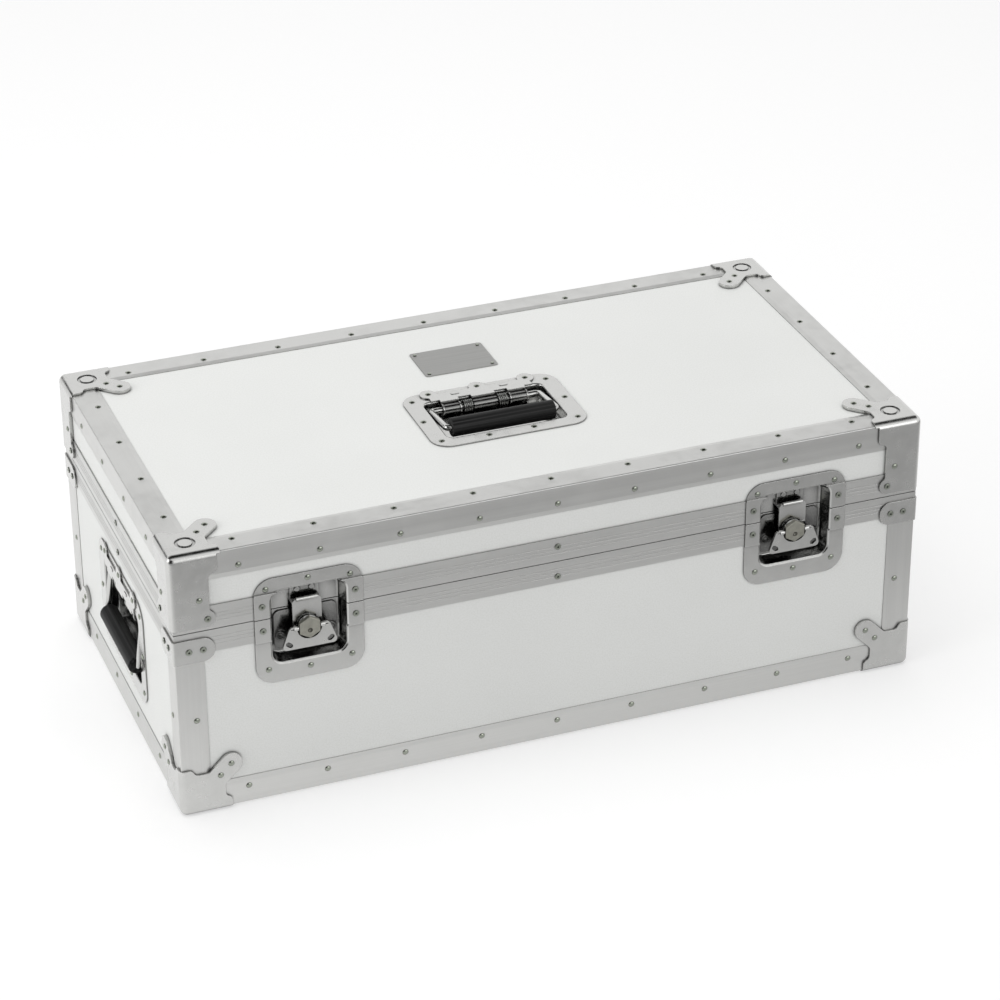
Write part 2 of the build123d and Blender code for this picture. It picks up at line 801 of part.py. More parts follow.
def diagonal_plane():
    """The upright plane that halves the front left corner."""
    return Plane(origin=(front_left_x, front_left_y, 0), z_dir=(1, -1, 0))


def base_brace(carriers):
    """A steel angle round a base corner just under the seam, with round ends."""
    high = -brace_drop
    low = high - brace_height
    leg = patch(-brace_thickness, brace_reach - brace_end_radius, low, high)
    leg += patch(brace_reach - 3 * brace_end_radius, brace_reach, low, high, brace_end_radius)
    front = Plane(
        origin=(front_left_x, front_left_y + panel_inset, z_seam), x_dir=(1, 0, 0), z_dir=(0, -1, 0)
    )
    plate = front.location * extrude(leg, amount=panel_inset + brace_thickness)
    brace = plate + mirror(plate, about=diagonal_plane())
    outer_edge = [
        edge
        for edge in brace.edges().filter_by(Axis.Z)
        if abs(edge.center().X - front_left_x + brace_thickness) < same_place
        and abs(edge.center().Y - front_left_y + brace_thickness) < same_place
    ]
    return fillet(outer_edge, edge_corner_radius + brace_thickness) - carriers


# Latches

def latch_dish(x):
    """A whole latch dish: a flange stepped up over the rails, and a drafted bowl."""
    outline = patch(
        -latch_dish_half_width,
        latch_dish_half_width,
        -latch_dish_below_seam,
        latch_dish_above_seam,
        latch_dish_corner,
    )
    rail_band = patch(
        -latch_dish_half_width,
        latch_dish_half_width,
        -base_rail_height - seam_gap / 2 - dish_sheet,
        lid_rail_height + seam_gap / 2 + dish_sheet,
    )
    flange = Pos(0, 0, -panel_inset) * extrude(outline, amount=dish_sheet)
    flange += Pos(0, 0, -panel_inset) * extrude(outline & rail_band, amount=panel_inset + dish_sheet)
    rails = block(
        -latch_dish_half_width - cut_overrun,
        latch_dish_half_width + cut_overrun,
        -base_rail_height - seam_gap / 2,
        lid_rail_height + seam_gap / 2,
        -panel_inset - cut_overrun,
        0,
    )
    flange -= rails
    inner = Pos(0, 0, dish_sheet) * extrude(
        latch_bowl_outline(0), amount=-latch_bowl_depth - dish_sheet, taper=latch_bowl_draft
    )
    inner = fillet(inner.edges().group_by(Axis.Z)[0], latch_bowl_floor_radius)
    outline = latch_bowl_outline(dish_sheet)
    outer = extrude(outline, amount=-latch_bowl_depth - dish_sheet, taper=latch_bowl_draft)
    outer = fillet(outer.edges().group_by(Axis.Z)[0], latch_bowl_floor_radius + dish_sheet)
    band = block(
        -latch_dish_half_width,
        latch_dish_half_width,
        -base_rail_height - seam_gap / 2,
        lid_rail_height + seam_gap / 2,
        -dish_sheet,
        dish_sheet,
    )
    neck = extrude(latch_bowl_outline(dish_sheet), amount=dish_sheet) & band
    flare = extrude(latch_bowl_outline(latch_mouth_flare), amount=-latch_mouth_flare, taper=45)
    dish = flange + outer + neck - inner - (Pos(0, 0, dish_sheet) * flare & band) - (flare - band)
    return on_face("front", x, z_seam) * dish


def latch_dish_halves(x):
    """The base half and the lid half of a latch dish, parted at the seam."""
    dish = latch_dish(x)
    reach = 2 * latch_dish_half_width
    front = -half_width - 2 * dish_sheet
    lower_room = block(x - reach, x + reach, front, 0, z_bottom, z_base_mouth)
    upper_room = block(x - reach, x + reach, front, 0, z_lid_mouth, z_top)
    lower = (dish & lower_room) - spindle_bore(x)
    return drill(lower, latch_lower_places), drill(dish & upper_room, latch_upper_places)


def spindle_place(x):
    """The latch spindle's place on the front face."""
    return on_face("front", x, z_seam - spindle_below_seam)


def spindle_bore(x):
    """The bore that the spindle turns in."""
    far = latch_bowl_depth + dish_sheet + spindle_bore_overrun
    return spindle_place(x) * rod(spindle_radius + spindle_clearance, (0, 0, -far), (0, 0, -disc_front))


def closed_head(radius):
    """The closed head of a rivet through a dish: a low disc with a round edge, standing on z = 0."""
    head = Cylinder(radius, riveted_head_height, align=(Align.CENTER, Align.CENTER, Align.MIN))
    return fillet(head.edges().group_by(Axis.Z)[-1], riveted_head_edge)


def mechanism_plate(x):
    """The steel plate on the bowl's floor that the spindle runs in, with its two big ringed rivets."""
    plate = patch(
        -mechanism_plate_half_width,
        mechanism_plate_half_width,
        -mechanism_plate_below_spindle,
        mechanism_plate_above_spindle,
        mechanism_plate_corner,
    )
    back = -latch_bowl_depth
    front = back + mechanism_plate_thickness
    body = Pos(0, 0, back) * extrude(plate, amount=mechanism_plate_thickness)
    ring = Circle(mechanism_ring_radius) - Circle(mechanism_ring_radius - mechanism_ring_width)
    ring_cut = Pos(0, 0, riveted_head_height) * extrude(ring, amount=-mechanism_ring_depth)
    head = closed_head(mechanism_rivet_radius) - ring_cut
    for side in (-1, 1):
        body += Pos(side * mechanism_rivet_reach, -mechanism_rivet_drop, front) * head
    return spindle_place(x) * body - spindle_bore(x)


def latch_spindle(x):
    """The hexagon head, eccentric, cam disc, shaft and end collar, with the wing's pin through the head."""
    head = Rot(0, 0, 30) * RegularPolygon(hex_across_flats / 2, 6, major_radius=False)
    body = Pos(0, 0, -hex_head_depth) * extrude(head, amount=hex_head_depth + hex_stand)
    body = chamfer(body.edges().group_by(Axis.Z)[-1], hex_chamfer)
    dimple_radius = (hex_mark_radius**2 + hex_mark_depth**2) / (2 * hex_mark_depth)
    body -= Pos(0, -hex_mark_drop, hex_stand - hex_mark_depth + dimple_radius) * Sphere(dimple_radius)
    body += rod(spindle_hub_radius, (0, 0, -hex_back_depth), (0, 0, -hex_head_depth))
    low = (0, -eccentric_offset, -disc_front)
    eccentric = rod(eccentric_radius, low, (0, -eccentric_offset, -hex_back_depth))
    disc = rod(cam_disc_radius, (0, 0, -disc_front - cam_disc_thickness), (0, 0, -disc_front))
    dish_back = latch_bowl_depth + dish_sheet
    shaft = rod(spindle_radius, (0, 0, -dish_back - spindle_tail), (0, 0, -disc_front))
    collar_front = -dish_back - spindle_collar_gap
    collar_back = collar_front - spindle_collar_thickness
    collar = rod(spindle_collar_radius, (0, 0, collar_back), (0, 0, collar_front))
    pin_reach = hex_across_flats / 2 + wing_side_gap + wing_barrel_length
    pin = rod(wing_pin_radius, (-pin_reach, 0, wing_axis_height), (pin_reach, 0, wing_axis_height))
    return spindle_place(x) * (body + eccentric + disc + shaft + collar + pin)


def wing_spring(x):
    """The wing's wire spring, coiled round the spindle's hub behind the hexagon."""
    height = wing_spring_pitch * wing_spring_turns
    path = Helix(wing_spring_pitch, height, wing_spring_coil_radius)
    section = Plane(origin=path @ 0, z_dir=path % 0).location * Circle(wing_spring_wire_radius)
    coil = sweep(section, path=path, is_frenet=True)
    middle = (hex_head_depth + hex_back_depth) / 2
    return spindle_place(x) * Pos(0, 0, -middle - height / 2) * coil


wing_axis_height = wing_stand - wing_thickness / 2


def latch_wing(x):
    """The butterfly wing, folded down: a plate notched round the hexagon, on two barrels round the pin."""
    top = wing_barrel_radius
    corners = [
        (-wing_top_half_width, top),
        (wing_top_half_width, top),
        (wing_bottom_half_width, -wing_drop),
        (-wing_bottom_half_width, -wing_drop),
    ]
    plate = make_face(Polyline(*corners, close=True))
    plate = fillet(plate.vertices(), wing_corner_radius)
    plate -= Circle(wing_notch_radius)
    for side in (-1, 1):
        slot = Rot(0, 0, side * wing_slot_tilt) * SlotCenterToCenter(wing_slot_length, 2 * wing_slot_radius)
        plate -= Pos(side * wing_slot_reach, -wing_slot_drop) * slot
    body = Pos(0, 0, wing_stand - wing_thickness) * extrude(plate, amount=wing_thickness)
    near = hex_across_flats / 2 + wing_side_gap
    far = near + wing_barrel_length
    for side in (-1, 1):
        inner, outer = side * near, side * far
        body += rod(wing_barrel_radius, (inner, 0, wing_axis_height), (outer, 0, wing_axis_height))
    bore = wing_pin_radius + wing_pin_clearance
    end = far + wing_bore_overrun
    body -= rod(bore, (-end, 0, wing_axis_height), (end, 0, wing_axis_height))
    return spindle_place(x) * body


def latch_hook(x):
    """The hook plate on the eccentric, reaching up over the seam, with a rolled bead at its top."""
    top = spindle_below_seam + hook_top_above_seam
    shape = patch(-hook_half_width, hook_half_width, -eccentric_offset, top, hook_corner_radius)
    shape += Pos(0, -eccentric_offset) * Circle(hook_eye_radius)
    plate = Pos(0, 0, -hook_back) * extrude(shape, amount=hook_thickness)
    reach = hook_half_width - hook_corner_radius
    bead_height = -hook_back + hook_bead_radius
    plate += rod(hook_bead_radius, (-reach, top, bead_height), (reach, top, bead_height))
    eye_bottom = -hook_back - cut_reach
    eye_radius = eccentric_radius + spindle_clearance
    eye = rod(eye_radius, (0, -eccentric_offset, eye_bottom), (0, -eccentric_offset, 0))
    return spindle_place(x) * (plate - eye)


def latch_keeper(x):
    """The keeper on the lid half of the bowl: a plate with a lip behind the hook, and two rivets."""
    low = keeper_above_seam
    back = -latch_bowl_depth
    plate = patch(-keeper_half_width, keeper_half_width, low, keeper_top)
    body = Pos(0, 0, back) * extrude(plate, amount=keeper_thickness)
    body += block(
        -keeper_half_width, keeper_half_width, low, low + keeper_lip_thickness, back, -keeper_lip_front
    )
    head = closed_head(rivet_head_radius)
    for side in (-1, 1):
        body += Pos(side * keeper_rivet_reach, keeper_rivet_above_seam, back + keeper_thickness) * head
    return on_face("front", x, z_seam) * body


# Handles, drawn about the dish's middle with the hinge towards +Y and the outside towards +Z

def handle_dish():
    """A dish with a flat flange and a drafted bowl, round at its mouth and along its floor."""
    outline = RectangleRounded(handle_dish_length, handle_dish_width, handle_dish_corner)
    flange = Pos(0, 0, -panel_inset) * extrude(outline, amount=dish_sheet)
    top = dish_sheet - panel_inset
    inner = extrude(handle_bowl_outline(0), amount=-handle_bowl_depth - top, taper=handle_bowl_draft)
    inner = fillet(inner.edges().group_by(Axis.Z)[0], handle_floor_radius)
    depth = handle_bowl_depth + top + dish_sheet
    outer = extrude(
        handle_bowl_outline(dish_sheet), amount=-depth, taper=handle_bowl_draft
    )
    outer = fillet(outer.edges().group_by(Axis.Z)[0], handle_floor_radius + dish_sheet)
    dish = flange + Pos(0, 0, top) * outer - Pos(0, 0, top) * inner
    mouth = [edge for edge in dish.faces().sort_by(Axis.Z)[-1].inner_wires()[0].edges()]
    return fillet(mouth, handle_mouth_radius)


def handle_hinge_plate():
    """The lobed plate that holds the bail: rimmed knuckles round its rod at the sides, plain in between."""
    edge = handle_bowl_top
    rim_radius = hinge_bore + bail_knuckle_wall + bail_knuckle_rim_height
    half = hinge_plate_half_length
    plate = patch(-half, half, edge - hinge_plate_overhang, hinge_plate_rivet_height - hinge_plate_lobe_rise)
    for u in (-hinge_plate_rivet_reach, 0, hinge_plate_rivet_reach):
        plate += Pos(u, hinge_plate_rivet_height) * Circle(hinge_plate_lobe_radius)
    body = extrude(plate, amount=dish_sheet)
    slot = SlotOverall(hinge_plate_mark_length, hinge_plate_mark_width)
    mark = extrude(slot, amount=hinge_plate_mark_height)
    mark_v = (edge + hinge_plate_rivet_height) / 2
    for side in (-1, 1):
        body += Pos(side * hinge_plate_mark_offset, mark_v, dish_sheet) * mark
    body += hinge_knuckle(-hinge_barrel_length / 2, hinge_barrel_length / 2)
    for side in (-1, 1):
        near = side * bail_knuckle_offset - bail_knuckle_length / 2
        far = near + bail_knuckle_length
        body += hinge_knuckle(near, far)
        for start in (near, far - bail_knuckle_rim_width):
            body += hinge_rod(rim_radius, start, start + bail_knuckle_rim_width)
    return body - hinge_rod(hinge_bore, -half, half)


hinge_bore = bail_rod_radius + bail_knuckle_clearance


def hinge_rod(radius, start, end):
    """A round bar on the bail's pivot axis from one place along it to another."""
    return rod(radius, (start, bail_pivot_v, -bail_pivot_depth), (end, bail_pivot_v, -bail_pivot_depth))


def hinge_knuckle(near, far):
    """A knuckle round the pivot rod, its strap up the bowl's wall, and the strap's lap on the plate."""
    back = bail_pivot_v + hinge_bore + bail_knuckle_wall
    knuckle = hinge_rod(hinge_bore + bail_knuckle_wall, near, far)
    knuckle += block(near, far, back - bail_knuckle_wall, back, -bail_pivot_depth, dish_sheet)
    return knuckle + block(near, far, back - bail_knuckle_wall, handle_bowl_top, 0, dish_sheet)


def bail_tilt():
    """The angle by which the bail stands out from the face at rest."""
    return atan2(grip_stand + bail_pivot_depth, bail_reach)


def bail_place():
    """The bail's own place: its pivot rod along X, its grip towards -Y in its own plane."""
    return Pos(0, bail_pivot_v, -bail_pivot_depth) * Rot(-degrees(bail_tilt()), 0, 0)


def bail_span():
    """The distance from the pivot rod to the grip's axis along the tilted arms."""
    return sqrt(bail_reach**2 + (grip_stand + bail_pivot_depth) ** 2)


def handle_bail():
    """A closed loop of round steel rod, with the pivot rod on one side and the grip's core on the other."""
    half = bail_width / 2
    span = bail_span()
    loop = FilletPolyline(
        (-half, 0), (half, 0), (half, -span), (-half, -span), close=True, radius=bail_bend_radius
    )
    start = Plane(origin=loop @ 0, z_dir=loop % 0)
    return bail_place() * sweep(start.location * Circle(bail_rod_radius), path=loop)


def handle_grip():
    """A rubber sleeve over the bail's outer bar."""
    half = grip_length / 2
    sleeve = Rot(0, 90, 0) * Cylinder(grip_radius, grip_length)
    sleeve = fillet(sleeve.edges().filter_by(GeomType.CIRCLE), grip_end_radius)
    end = half + cut_overrun
    sleeve -= rod(bail_rod_radius + grip_bore_clearance, (-end, 0, 0), (end, 0, 0))
    return bail_place() * Pos(0, -bail_span(), 0) * sleeve


def biarc(start, leave, end, arrive):
    """Two tangent arcs from one point and direction to another."""
    chord = end - start
    sum_of_ways = leave + arrive
    bend = 2 * (1 - leave.dot(arrive))
    along = chord.dot(sum_of_ways)
    reach = (-along + sqrt(along**2 + bend * chord.dot(chord))) / bend
    joint = (start + end + (leave - arrive) * reach) / 2
    through = (end - arrive * reach) - (start + leave * reach)
    return [TangentArc(start, joint, tangent=leave), TangentArc(joint, end, tangent=through)]


def spring_point(angle):
    """A point of the spring's helix about its own axis along X, at an angle turned from -Z."""
    rise = spring_pitch * angle / (2 * pi)
    return Vector(rise, spring_coil_radius * sin(angle), -spring_coil_radius * cos(angle))


def spring_way(angle):
    """The direction of the helix at an angle."""
    rise = spring_pitch / (2 * pi)
    return Vector(rise, spring_coil_radius * cos(angle), spring_coil_radius * sin(angle)).normalized()


def torsion_spring():
    """A coil round the pivot rod whose lower leg lies on the bowl's floor, swept in quarter turns."""
    quarter = pi / 2
    count = spring_turns * 4 + 2
    way = spring_way(0)
    start = spring_point(0)
    edges = [Line(start - way * spring_leg_length, start)]
    for i in range(count):
        low = i * quarter
        high = low + quarter
        edges += biarc(spring_point(low), spring_way(low), spring_point(high), spring_way(high))
    path = Wire(edges)
    section = Plane(origin=path @ 0, z_dir=path % 0).location * Circle(spring_wire_radius)
    return sweep(section, path=path)


def handle_springs():
    """The two torsion springs of one handle, mirrored about its middle."""
    spring = Pos(spring_offset, bail_pivot_v, -bail_pivot_depth) * torsion_spring()
    return [spring, mirror(spring, about=Plane.YZ)]


def handle_pieces(face, a, b, places):
    """One handle's pieces in place on its face, with the dish and hinge plate drilled."""
    spot = on_face(face, a, b)
    return {
        "dish": drill(spot * handle_dish(), places),
        "hinge_plate": drill(spot * handle_hinge_plate(), places),
        "bail": spot * handle_bail(),
        "grip": spot * handle_grip(),
        "springs": [spot * spring for spring in handle_springs()],
    }


# Hinges

def hinge_leaf(x, sign, places):
    """A leaf on the back: the base's, sign -1, with two knuckles; the lid's, sign 1, with one and a lip."""
    half = hinge_leaf_length / 2
    z_mouth = z_seam + sign * seam_gap / 2
    z_far = z_seam + sign * hinge_leaf_height
    z_web = z_seam + sign * hinge_knuckle_radius
    third = hinge_leaf_length / 3
    spans = ((-third / 2, third / 2),) if sign > 0 else ((-half, -third / 2), (third / 2, half))
    inset = hinge_knuckle_gap / 2
    leaf = block(
        x - half, x + half, half_width, half_width + hinge_leaf_thickness, *sorted((z_web, z_far))
    )
    for near, far in spans:
        x0 = x + near + inset
        x1 = x + far - inset
        leaf += rod(hinge_knuckle_radius, (x0, hinge_axis_y, z_seam), (x1, hinge_axis_y, z_seam))
        leaf += block(x0, x1, half_width, hinge_axis_y, *sorted((z_mouth, z_web + sign * hinge_web_overlap)))
        if sign > 0:
            leaf += stop_lip(x0, x1)
    leaf -= rod(
        hinge_pin_radius + hinge_pin_clearance,
        (x - half - cut_overrun, hinge_axis_y, z_seam),
        (x + half + cut_overrun, hinge_axis_y, z_seam),
    )
    return drill(leaf, places)


def stop_lip(x0, x1):
    """The lip that meets the base leaf when the lid is open, drawn there and turned back to rest."""
    face = hinge_leaf_thickness - hinge_axis_stand + stop_lip_clearance
    lip = block(x0, x1, face, face + stop_lip_thickness, -stop_lip_length, -hinge_pin_radius)
    return Pos(0, hinge_axis_y, z_seam) * Rot(lid_open_angle, 0, 0) * lip


def hinge_pin(x):
    """A hinge pin as long as the leaf."""
    half = hinge_leaf_length / 2
    return rod(hinge_pin_radius, (x - half, hinge_axis_y, z_seam), (x + half, hinge_axis_y, z_seam))


# Name plate

def name_plate():
    """A plain plate on the lid, drilled for its four screws."""
    plate = RectangleRounded(name_plate_length, name_plate_width, name_plate_corner)
    for u, v in plate_screw_points():
        plate -= Pos(u, v) * Circle(plate_screw_radius / 2 + rivet_hole_clearance)
    spot = on_face("top", 0, name_plate_y) * Pos(0, 0, -panel_inset)
    return spot * extrude(plate, amount=name_plate_thickness)


def plate_screw_points():
    """The corners where the plate's screws go."""
    u = name_plate_length / 2 - plate_screw_inset
    v = name_plate_width / 2 - plate_screw_inset
    return [(su * u, sv * v) for su in (-1, 1) for sv in (-1, 1)]


def plate_screws():
    """Four small pan head screws, each with a shank through the plate."""
    head = Cylinder(plate_screw_radius, plate_screw_height, align=(Align.CENTER, Align.CENTER, Align.MIN))
    head = fillet(head.edges().group_by(Axis.Z)[-1], plate_screw_height / 2)
    screw = head + rod(plate_screw_radius / 2, (0, 0, -name_plate_thickness), (0, 0, 0))
    spot = on_face("top", 0, name_plate_y) * Pos(0, 0, name_plate_thickness - panel_inset)
    return [spot * Pos(u, v) * screw for u, v in plate_screw_points()]


# Foam

def foam_lid_layers(room_x, room_y, grow):
    """The lid pad: a plain slab, and over it four strips that leave room for the top handle's dish."""
    z_pad = z_top - inner_inset - foam_gap
    z_slab = z_pad - foam_lid_thickness
    z_strip = z_top - handle_bowl_depth - grow
    recess_x = handle_bowl_length / 2 + grow
    recess_front = top_handle_y + handle_bowl_offset - handle_bowl_width / 2 - grow
    recess_back = top_handle_y + handle_bowl_top + grow
    return [
        block(-room_x, room_x, -room_y, room_y, z_slab, z_strip - foam_gap),
        block(-room_x, room_x, -room_y, recess_front, z_strip, z_pad),
        block(-room_x, room_x, recess_back, room_y, z_strip, z_pad),
        block(-room_x, -recess_x, recess_front + foam_gap, recess_back - foam_gap, z_strip, z_pad),
        block(recess_x, room_x, recess_front + foam_gap, recess_back - foam_gap, z_strip, z_pad),
    ]


def foam_pieces():
    """The foam floor, wall linings, dividers and lid pad, recessed behind the dishes."""
    wall = inner_inset + foam_gap
    room_x = half_length - wall
    room_y = half_width - wall
    z_floor = z_bottom + inner_inset + foam_gap
    z_bed = z_floor + foam_floor_thickness
    z_low = z_bed + foam_gap
    z_high = z_base_mouth - rail_inner_height - foam_gap
    bay_x = room_x - foam_wall_thickness
    bay_y = room_y - foam_wall_thickness
    latch_depth = latch_bowl_depth + dish_sheet + spindle_collar_thickness + foam_spindle_clearance
    grow = dish_sheet + foam_recess_clearance
    recesses = [
        pierce("front", side * latch_offset, z_seam, latch_bowl_outline(grow), latch_depth)
        for _, side in SIDES
    ]
    recesses += [
        pierce(name, 0, side_handle_z, handle_bowl_outline(grow), handle_bowl_depth + grow)
        for name, _ in SIDES
    ]
    walls = [
        block(-room_x, room_x, -room_y, -bay_y, z_low, z_high),
        block(-room_x, room_x, bay_y, room_y, z_low, z_high),
        block(-room_x, -bay_x, foam_gap - bay_y, bay_y - foam_gap, z_low, z_high),
        block(bay_x, room_x, foam_gap - bay_y, bay_y - foam_gap, z_low, z_high),
    ]
    half = foam_divider_thickness / 2
    long_x = bay_x - foam_gap
    cross = []
    for i in range(1, pocket_columns):
        x = -bay_x + i * 2 * bay_x / pocket_columns
        cross.append(block(x - half, x + half, half + foam_gap, bay_y - foam_gap, z_low, z_high))
        cross.append(block(x - half, x + half, foam_gap - bay_y, -half - foam_gap, z_low, z_high))
    return {
        "foam_floor": block(-room_x, room_x, -room_y, room_y, z_floor, z_bed),
        "foam_wall_linings": [piece - recesses for piece in walls],
        "foam_long_divider": block(-long_x, long_x, -half, half, z_low, z_high),
        "foam_cross_dividers": cross,
        "foam_lid_pad": foam_lid_layers(room_x, room_y, grow),
    }


def build_all():
    """Makes and writes every node."""
    nodes = make_panels()
    base_front_places = base_places + latch_lower_places
    lid_front_places = lid_places + latch_upper_places
    nodes["base_bottom_edges"] = edge_frame(z_bottom, True, base_places)
    nodes["lid_top_edges"] = edge_frame(z_top, False, lid_places)
    post_top = z_base_mouth - base_rail_height
    nodes["base_corner_posts"] = corner_posts(z_bottom + edge_width, post_top, base_places)
    nodes["lid_corner_posts"] = corner_posts(z_lid_mouth + lid_rail_height, z_top - edge_width, lid_places)
    nodes["base_closure_rails"] = base_rails(base_front_places)
    nodes["lid_closure_rails"] = lid_rails(lid_front_places)

    base_metal = nodes["base_bottom_edges"] + nodes["base_corner_posts"] + nodes["base_closure_rails"]
    lid_metal = nodes["lid_top_edges"] + nodes["lid_corner_posts"] + nodes["lid_closure_rails"]
    nodes["base_corner_caps"] = [drill(one, base_places) for one in at_four_corners(base_cap(base_metal))]
    braces = at_four_corners(base_brace(base_metal))
    nodes["base_corner_braces"] = [drill(brace, base_places) for brace in braces]
    nodes["lid_corner_caps"] = [drill(one, lid_places) for one in at_four_corners(lid_cap(lid_metal))]

    for name, side in SIDES:
        x = side * latch_offset
        lower, upper = latch_dish_halves(x)
        nodes[f"{name}_latch_lower_dish"] = lower
        nodes[f"{name}_latch_upper_dish"] = upper
        nodes[f"{name}_latch_mechanism_plate"] = mechanism_plate(x)
        nodes[f"{name}_latch_spindle"] = latch_spindle(x)
        nodes[f"{name}_latch_wing_spring"] = wing_spring(x)
        nodes[f"{name}_latch_wing"] = latch_wing(x)
        nodes[f"{name}_latch_hook"] = latch_hook(x)
        nodes[f"{name}_latch_keeper"] = latch_keeper(x)

    handles = {name: handle_pieces(name, 0, side_handle_z, side_handle_places) for name, _ in SIDES}
    handles["top"] = handle_pieces("top", 0, top_handle_y, top_handle_places)
    for name, pieces in handles.items():
        nodes[f"{name}_handle_dish"] = pieces["dish"]
        nodes[f"{name}_handle_bail"] = pieces["bail"]
        nodes[f"{name}_handle_grip"] = pieces["grip"]
    nodes["side_handle_hinge_plates"] = [handles[name]["hinge_plate"] for name, _ in SIDES]
    nodes["top_handle_hinge_plate"] = handles["top"]["hinge_plate"]
    nodes["side_handle_springs"] = [handles[name]["springs"] for name, _ in SIDES]
    nodes["top_handle_springs"] = handles["top"]["springs"]

    nodes["hinge_base_leaves"] = [hinge_leaf(side * hinge_offset, -1, base_places) for _, side in SIDES]
    nodes["hinge_lid_leaves"] = [hinge_leaf(side * hinge_offset, 1, lid_places) for _, side in SIDES]
    nodes["hinge_pins"] = [hinge_pin(side * hinge_offset) for _, side in SIDES]

    nodes["name_plate"] = name_plate()
    nodes["base_rivets"] = make_rivets(base_places + latch_lower_places + side_handle_places)
    nodes["lid_rivets"] = make_rivets(lid_places + latch_upper_places + top_handle_places)
    nodes["name_plate_screws"] = plate_screws()
    nodes.update(foam_pieces())
    for name, shape in nodes.items():
        write_node(name, shape)
    return nodes


os.makedirs("parts", exist_ok=True)
build_all()
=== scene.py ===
"""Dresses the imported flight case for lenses: a finish for every node, and foam pieces of its own.

Lengths are in metres, and those named _mm in millimetres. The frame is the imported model's: X along the case,
the front towards -Y, Z up from the undersides of the corner caps.
"""

import json
import math

import bmesh
import bpy
import numpy as np
from mathutils import Matrix, Vector

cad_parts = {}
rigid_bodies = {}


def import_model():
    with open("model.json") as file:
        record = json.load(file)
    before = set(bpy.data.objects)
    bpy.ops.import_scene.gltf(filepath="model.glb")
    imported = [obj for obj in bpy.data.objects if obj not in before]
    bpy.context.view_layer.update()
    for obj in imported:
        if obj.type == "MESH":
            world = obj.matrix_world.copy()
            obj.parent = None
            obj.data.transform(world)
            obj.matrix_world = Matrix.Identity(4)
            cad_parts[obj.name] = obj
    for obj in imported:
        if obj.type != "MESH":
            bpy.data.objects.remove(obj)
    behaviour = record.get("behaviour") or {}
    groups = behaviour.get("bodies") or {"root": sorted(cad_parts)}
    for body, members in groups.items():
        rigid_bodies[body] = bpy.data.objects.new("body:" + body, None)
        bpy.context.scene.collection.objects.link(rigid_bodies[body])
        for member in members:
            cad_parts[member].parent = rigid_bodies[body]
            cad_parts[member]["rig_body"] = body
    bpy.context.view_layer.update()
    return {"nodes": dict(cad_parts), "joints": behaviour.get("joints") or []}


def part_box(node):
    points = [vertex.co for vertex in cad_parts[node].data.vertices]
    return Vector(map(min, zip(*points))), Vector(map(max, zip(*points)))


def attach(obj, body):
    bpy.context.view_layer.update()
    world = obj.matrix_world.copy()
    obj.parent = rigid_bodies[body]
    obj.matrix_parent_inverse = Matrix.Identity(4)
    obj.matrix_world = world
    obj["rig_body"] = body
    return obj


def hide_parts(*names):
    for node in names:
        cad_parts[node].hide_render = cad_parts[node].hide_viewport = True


bl_info = {
    "name": "Lens case",
    "version": (1, 0, 0),
    "blender": (4, 5, 0),
    "location": "3D View > Sidebar > Lens case",
    "description": "Finishes and soft pieces of a flight case with butterfly latches and recessed handles",
    "category": "Object",
}

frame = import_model()
nodes = frame["nodes"]
joints = {joint["name"]: joint for joint in frame["joints"]}

mm = 0.001

# Places read from the frame
edging_low, edging_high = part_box("base_bottom_edges")
edging_half_x = edging_high.x
edging_half_y = edging_high.y
edging_bottom = edging_low.z

# The photograph's camera, found from the case's edges: angles about the middle of the edging's underside
camera_azimuth = math.radians(-20.56)
camera_elevation = math.radians(29.18)
camera_roll = math.radians(-0.36)
camera_distance = 3.6606
camera_right = 0.0146
camera_up = 0.1486
camera_lens_mm = 121.64
camera_sensor_mm = 36.0
camera_reach = 50

# Most of a noise pattern's values lie between these
noise_low = 0.3
noise_high = 0.7

# A streaked pattern's scale along its streaks, as a share of its scale across them
streak_squeeze = 0.006

# The rays that look for crevices and edges near a place, and the share of them that is free on an open face
nearby_samples = 4
open_share = 0.9

# The handles' rolled knuckles round the pivots, and how dark their painted shade leaves them beside the plates
knuckle_radius = 5.4 * mm
knuckle_edge = 0.4 * mm
knuckle_shade_tone = 0.45

# The foam's cut faces wander by a sine wave along each axis, in radians to a metre and radians
wander_rates = np.array((31, 37, 43), np.float32)
wander_starts = np.array((0, 1, 2), np.float32)
merge_distance = 1e-6

# The paper floor: its tone as it lights the case, and its tone and own glow as it is seen
paper_lighting_tone = 0.9
paper_seen_tone = 0.56
paper_glow = 0.5

# How much of the floor's white a reflection loses at the case's front, and at a distance before it, as a
# painted darker reflection
falloff_near = 0.03
falloff_far = 0.56
falloff_distance = 0.5
falloff_sideways = 0.22

# The share of a dark card's half width that is quite dark, before it thins out
felt_solid_share = 0.4

# The white surround's strength as it lights the case; rays that see it find it full white
world_light = 0.55


# Colours and nodes

def linear(code):
    """An sRGB hex colour as linear red, green, blue and a full alpha."""
    channels = [int(code[i:i + 2], 16) / 255 for i in (1, 3, 5)]
    curve = [c / 12.92 if c <= 0.04045 else ((c + 0.055) / 1.055) ** 2.4 for c in channels]
    return (*curve, 1.0)


def toned(colour, factor):
    """A colour made darker or lighter by a factor, at full alpha."""
    return (*(min(1.0, factor * channel) for channel in colour[:3]), 1.0)


def feed(tree, socket, value):
    """Sets an input to an even value, or links it to a socket or to a node's first output in use."""
    if isinstance(value, bpy.types.Node):
        value = next(output for output in value.outputs if output.enabled)
    if isinstance(value, bpy.types.NodeSocket):
        tree.links.new(value, socket)
    else:
        socket.default_value = value


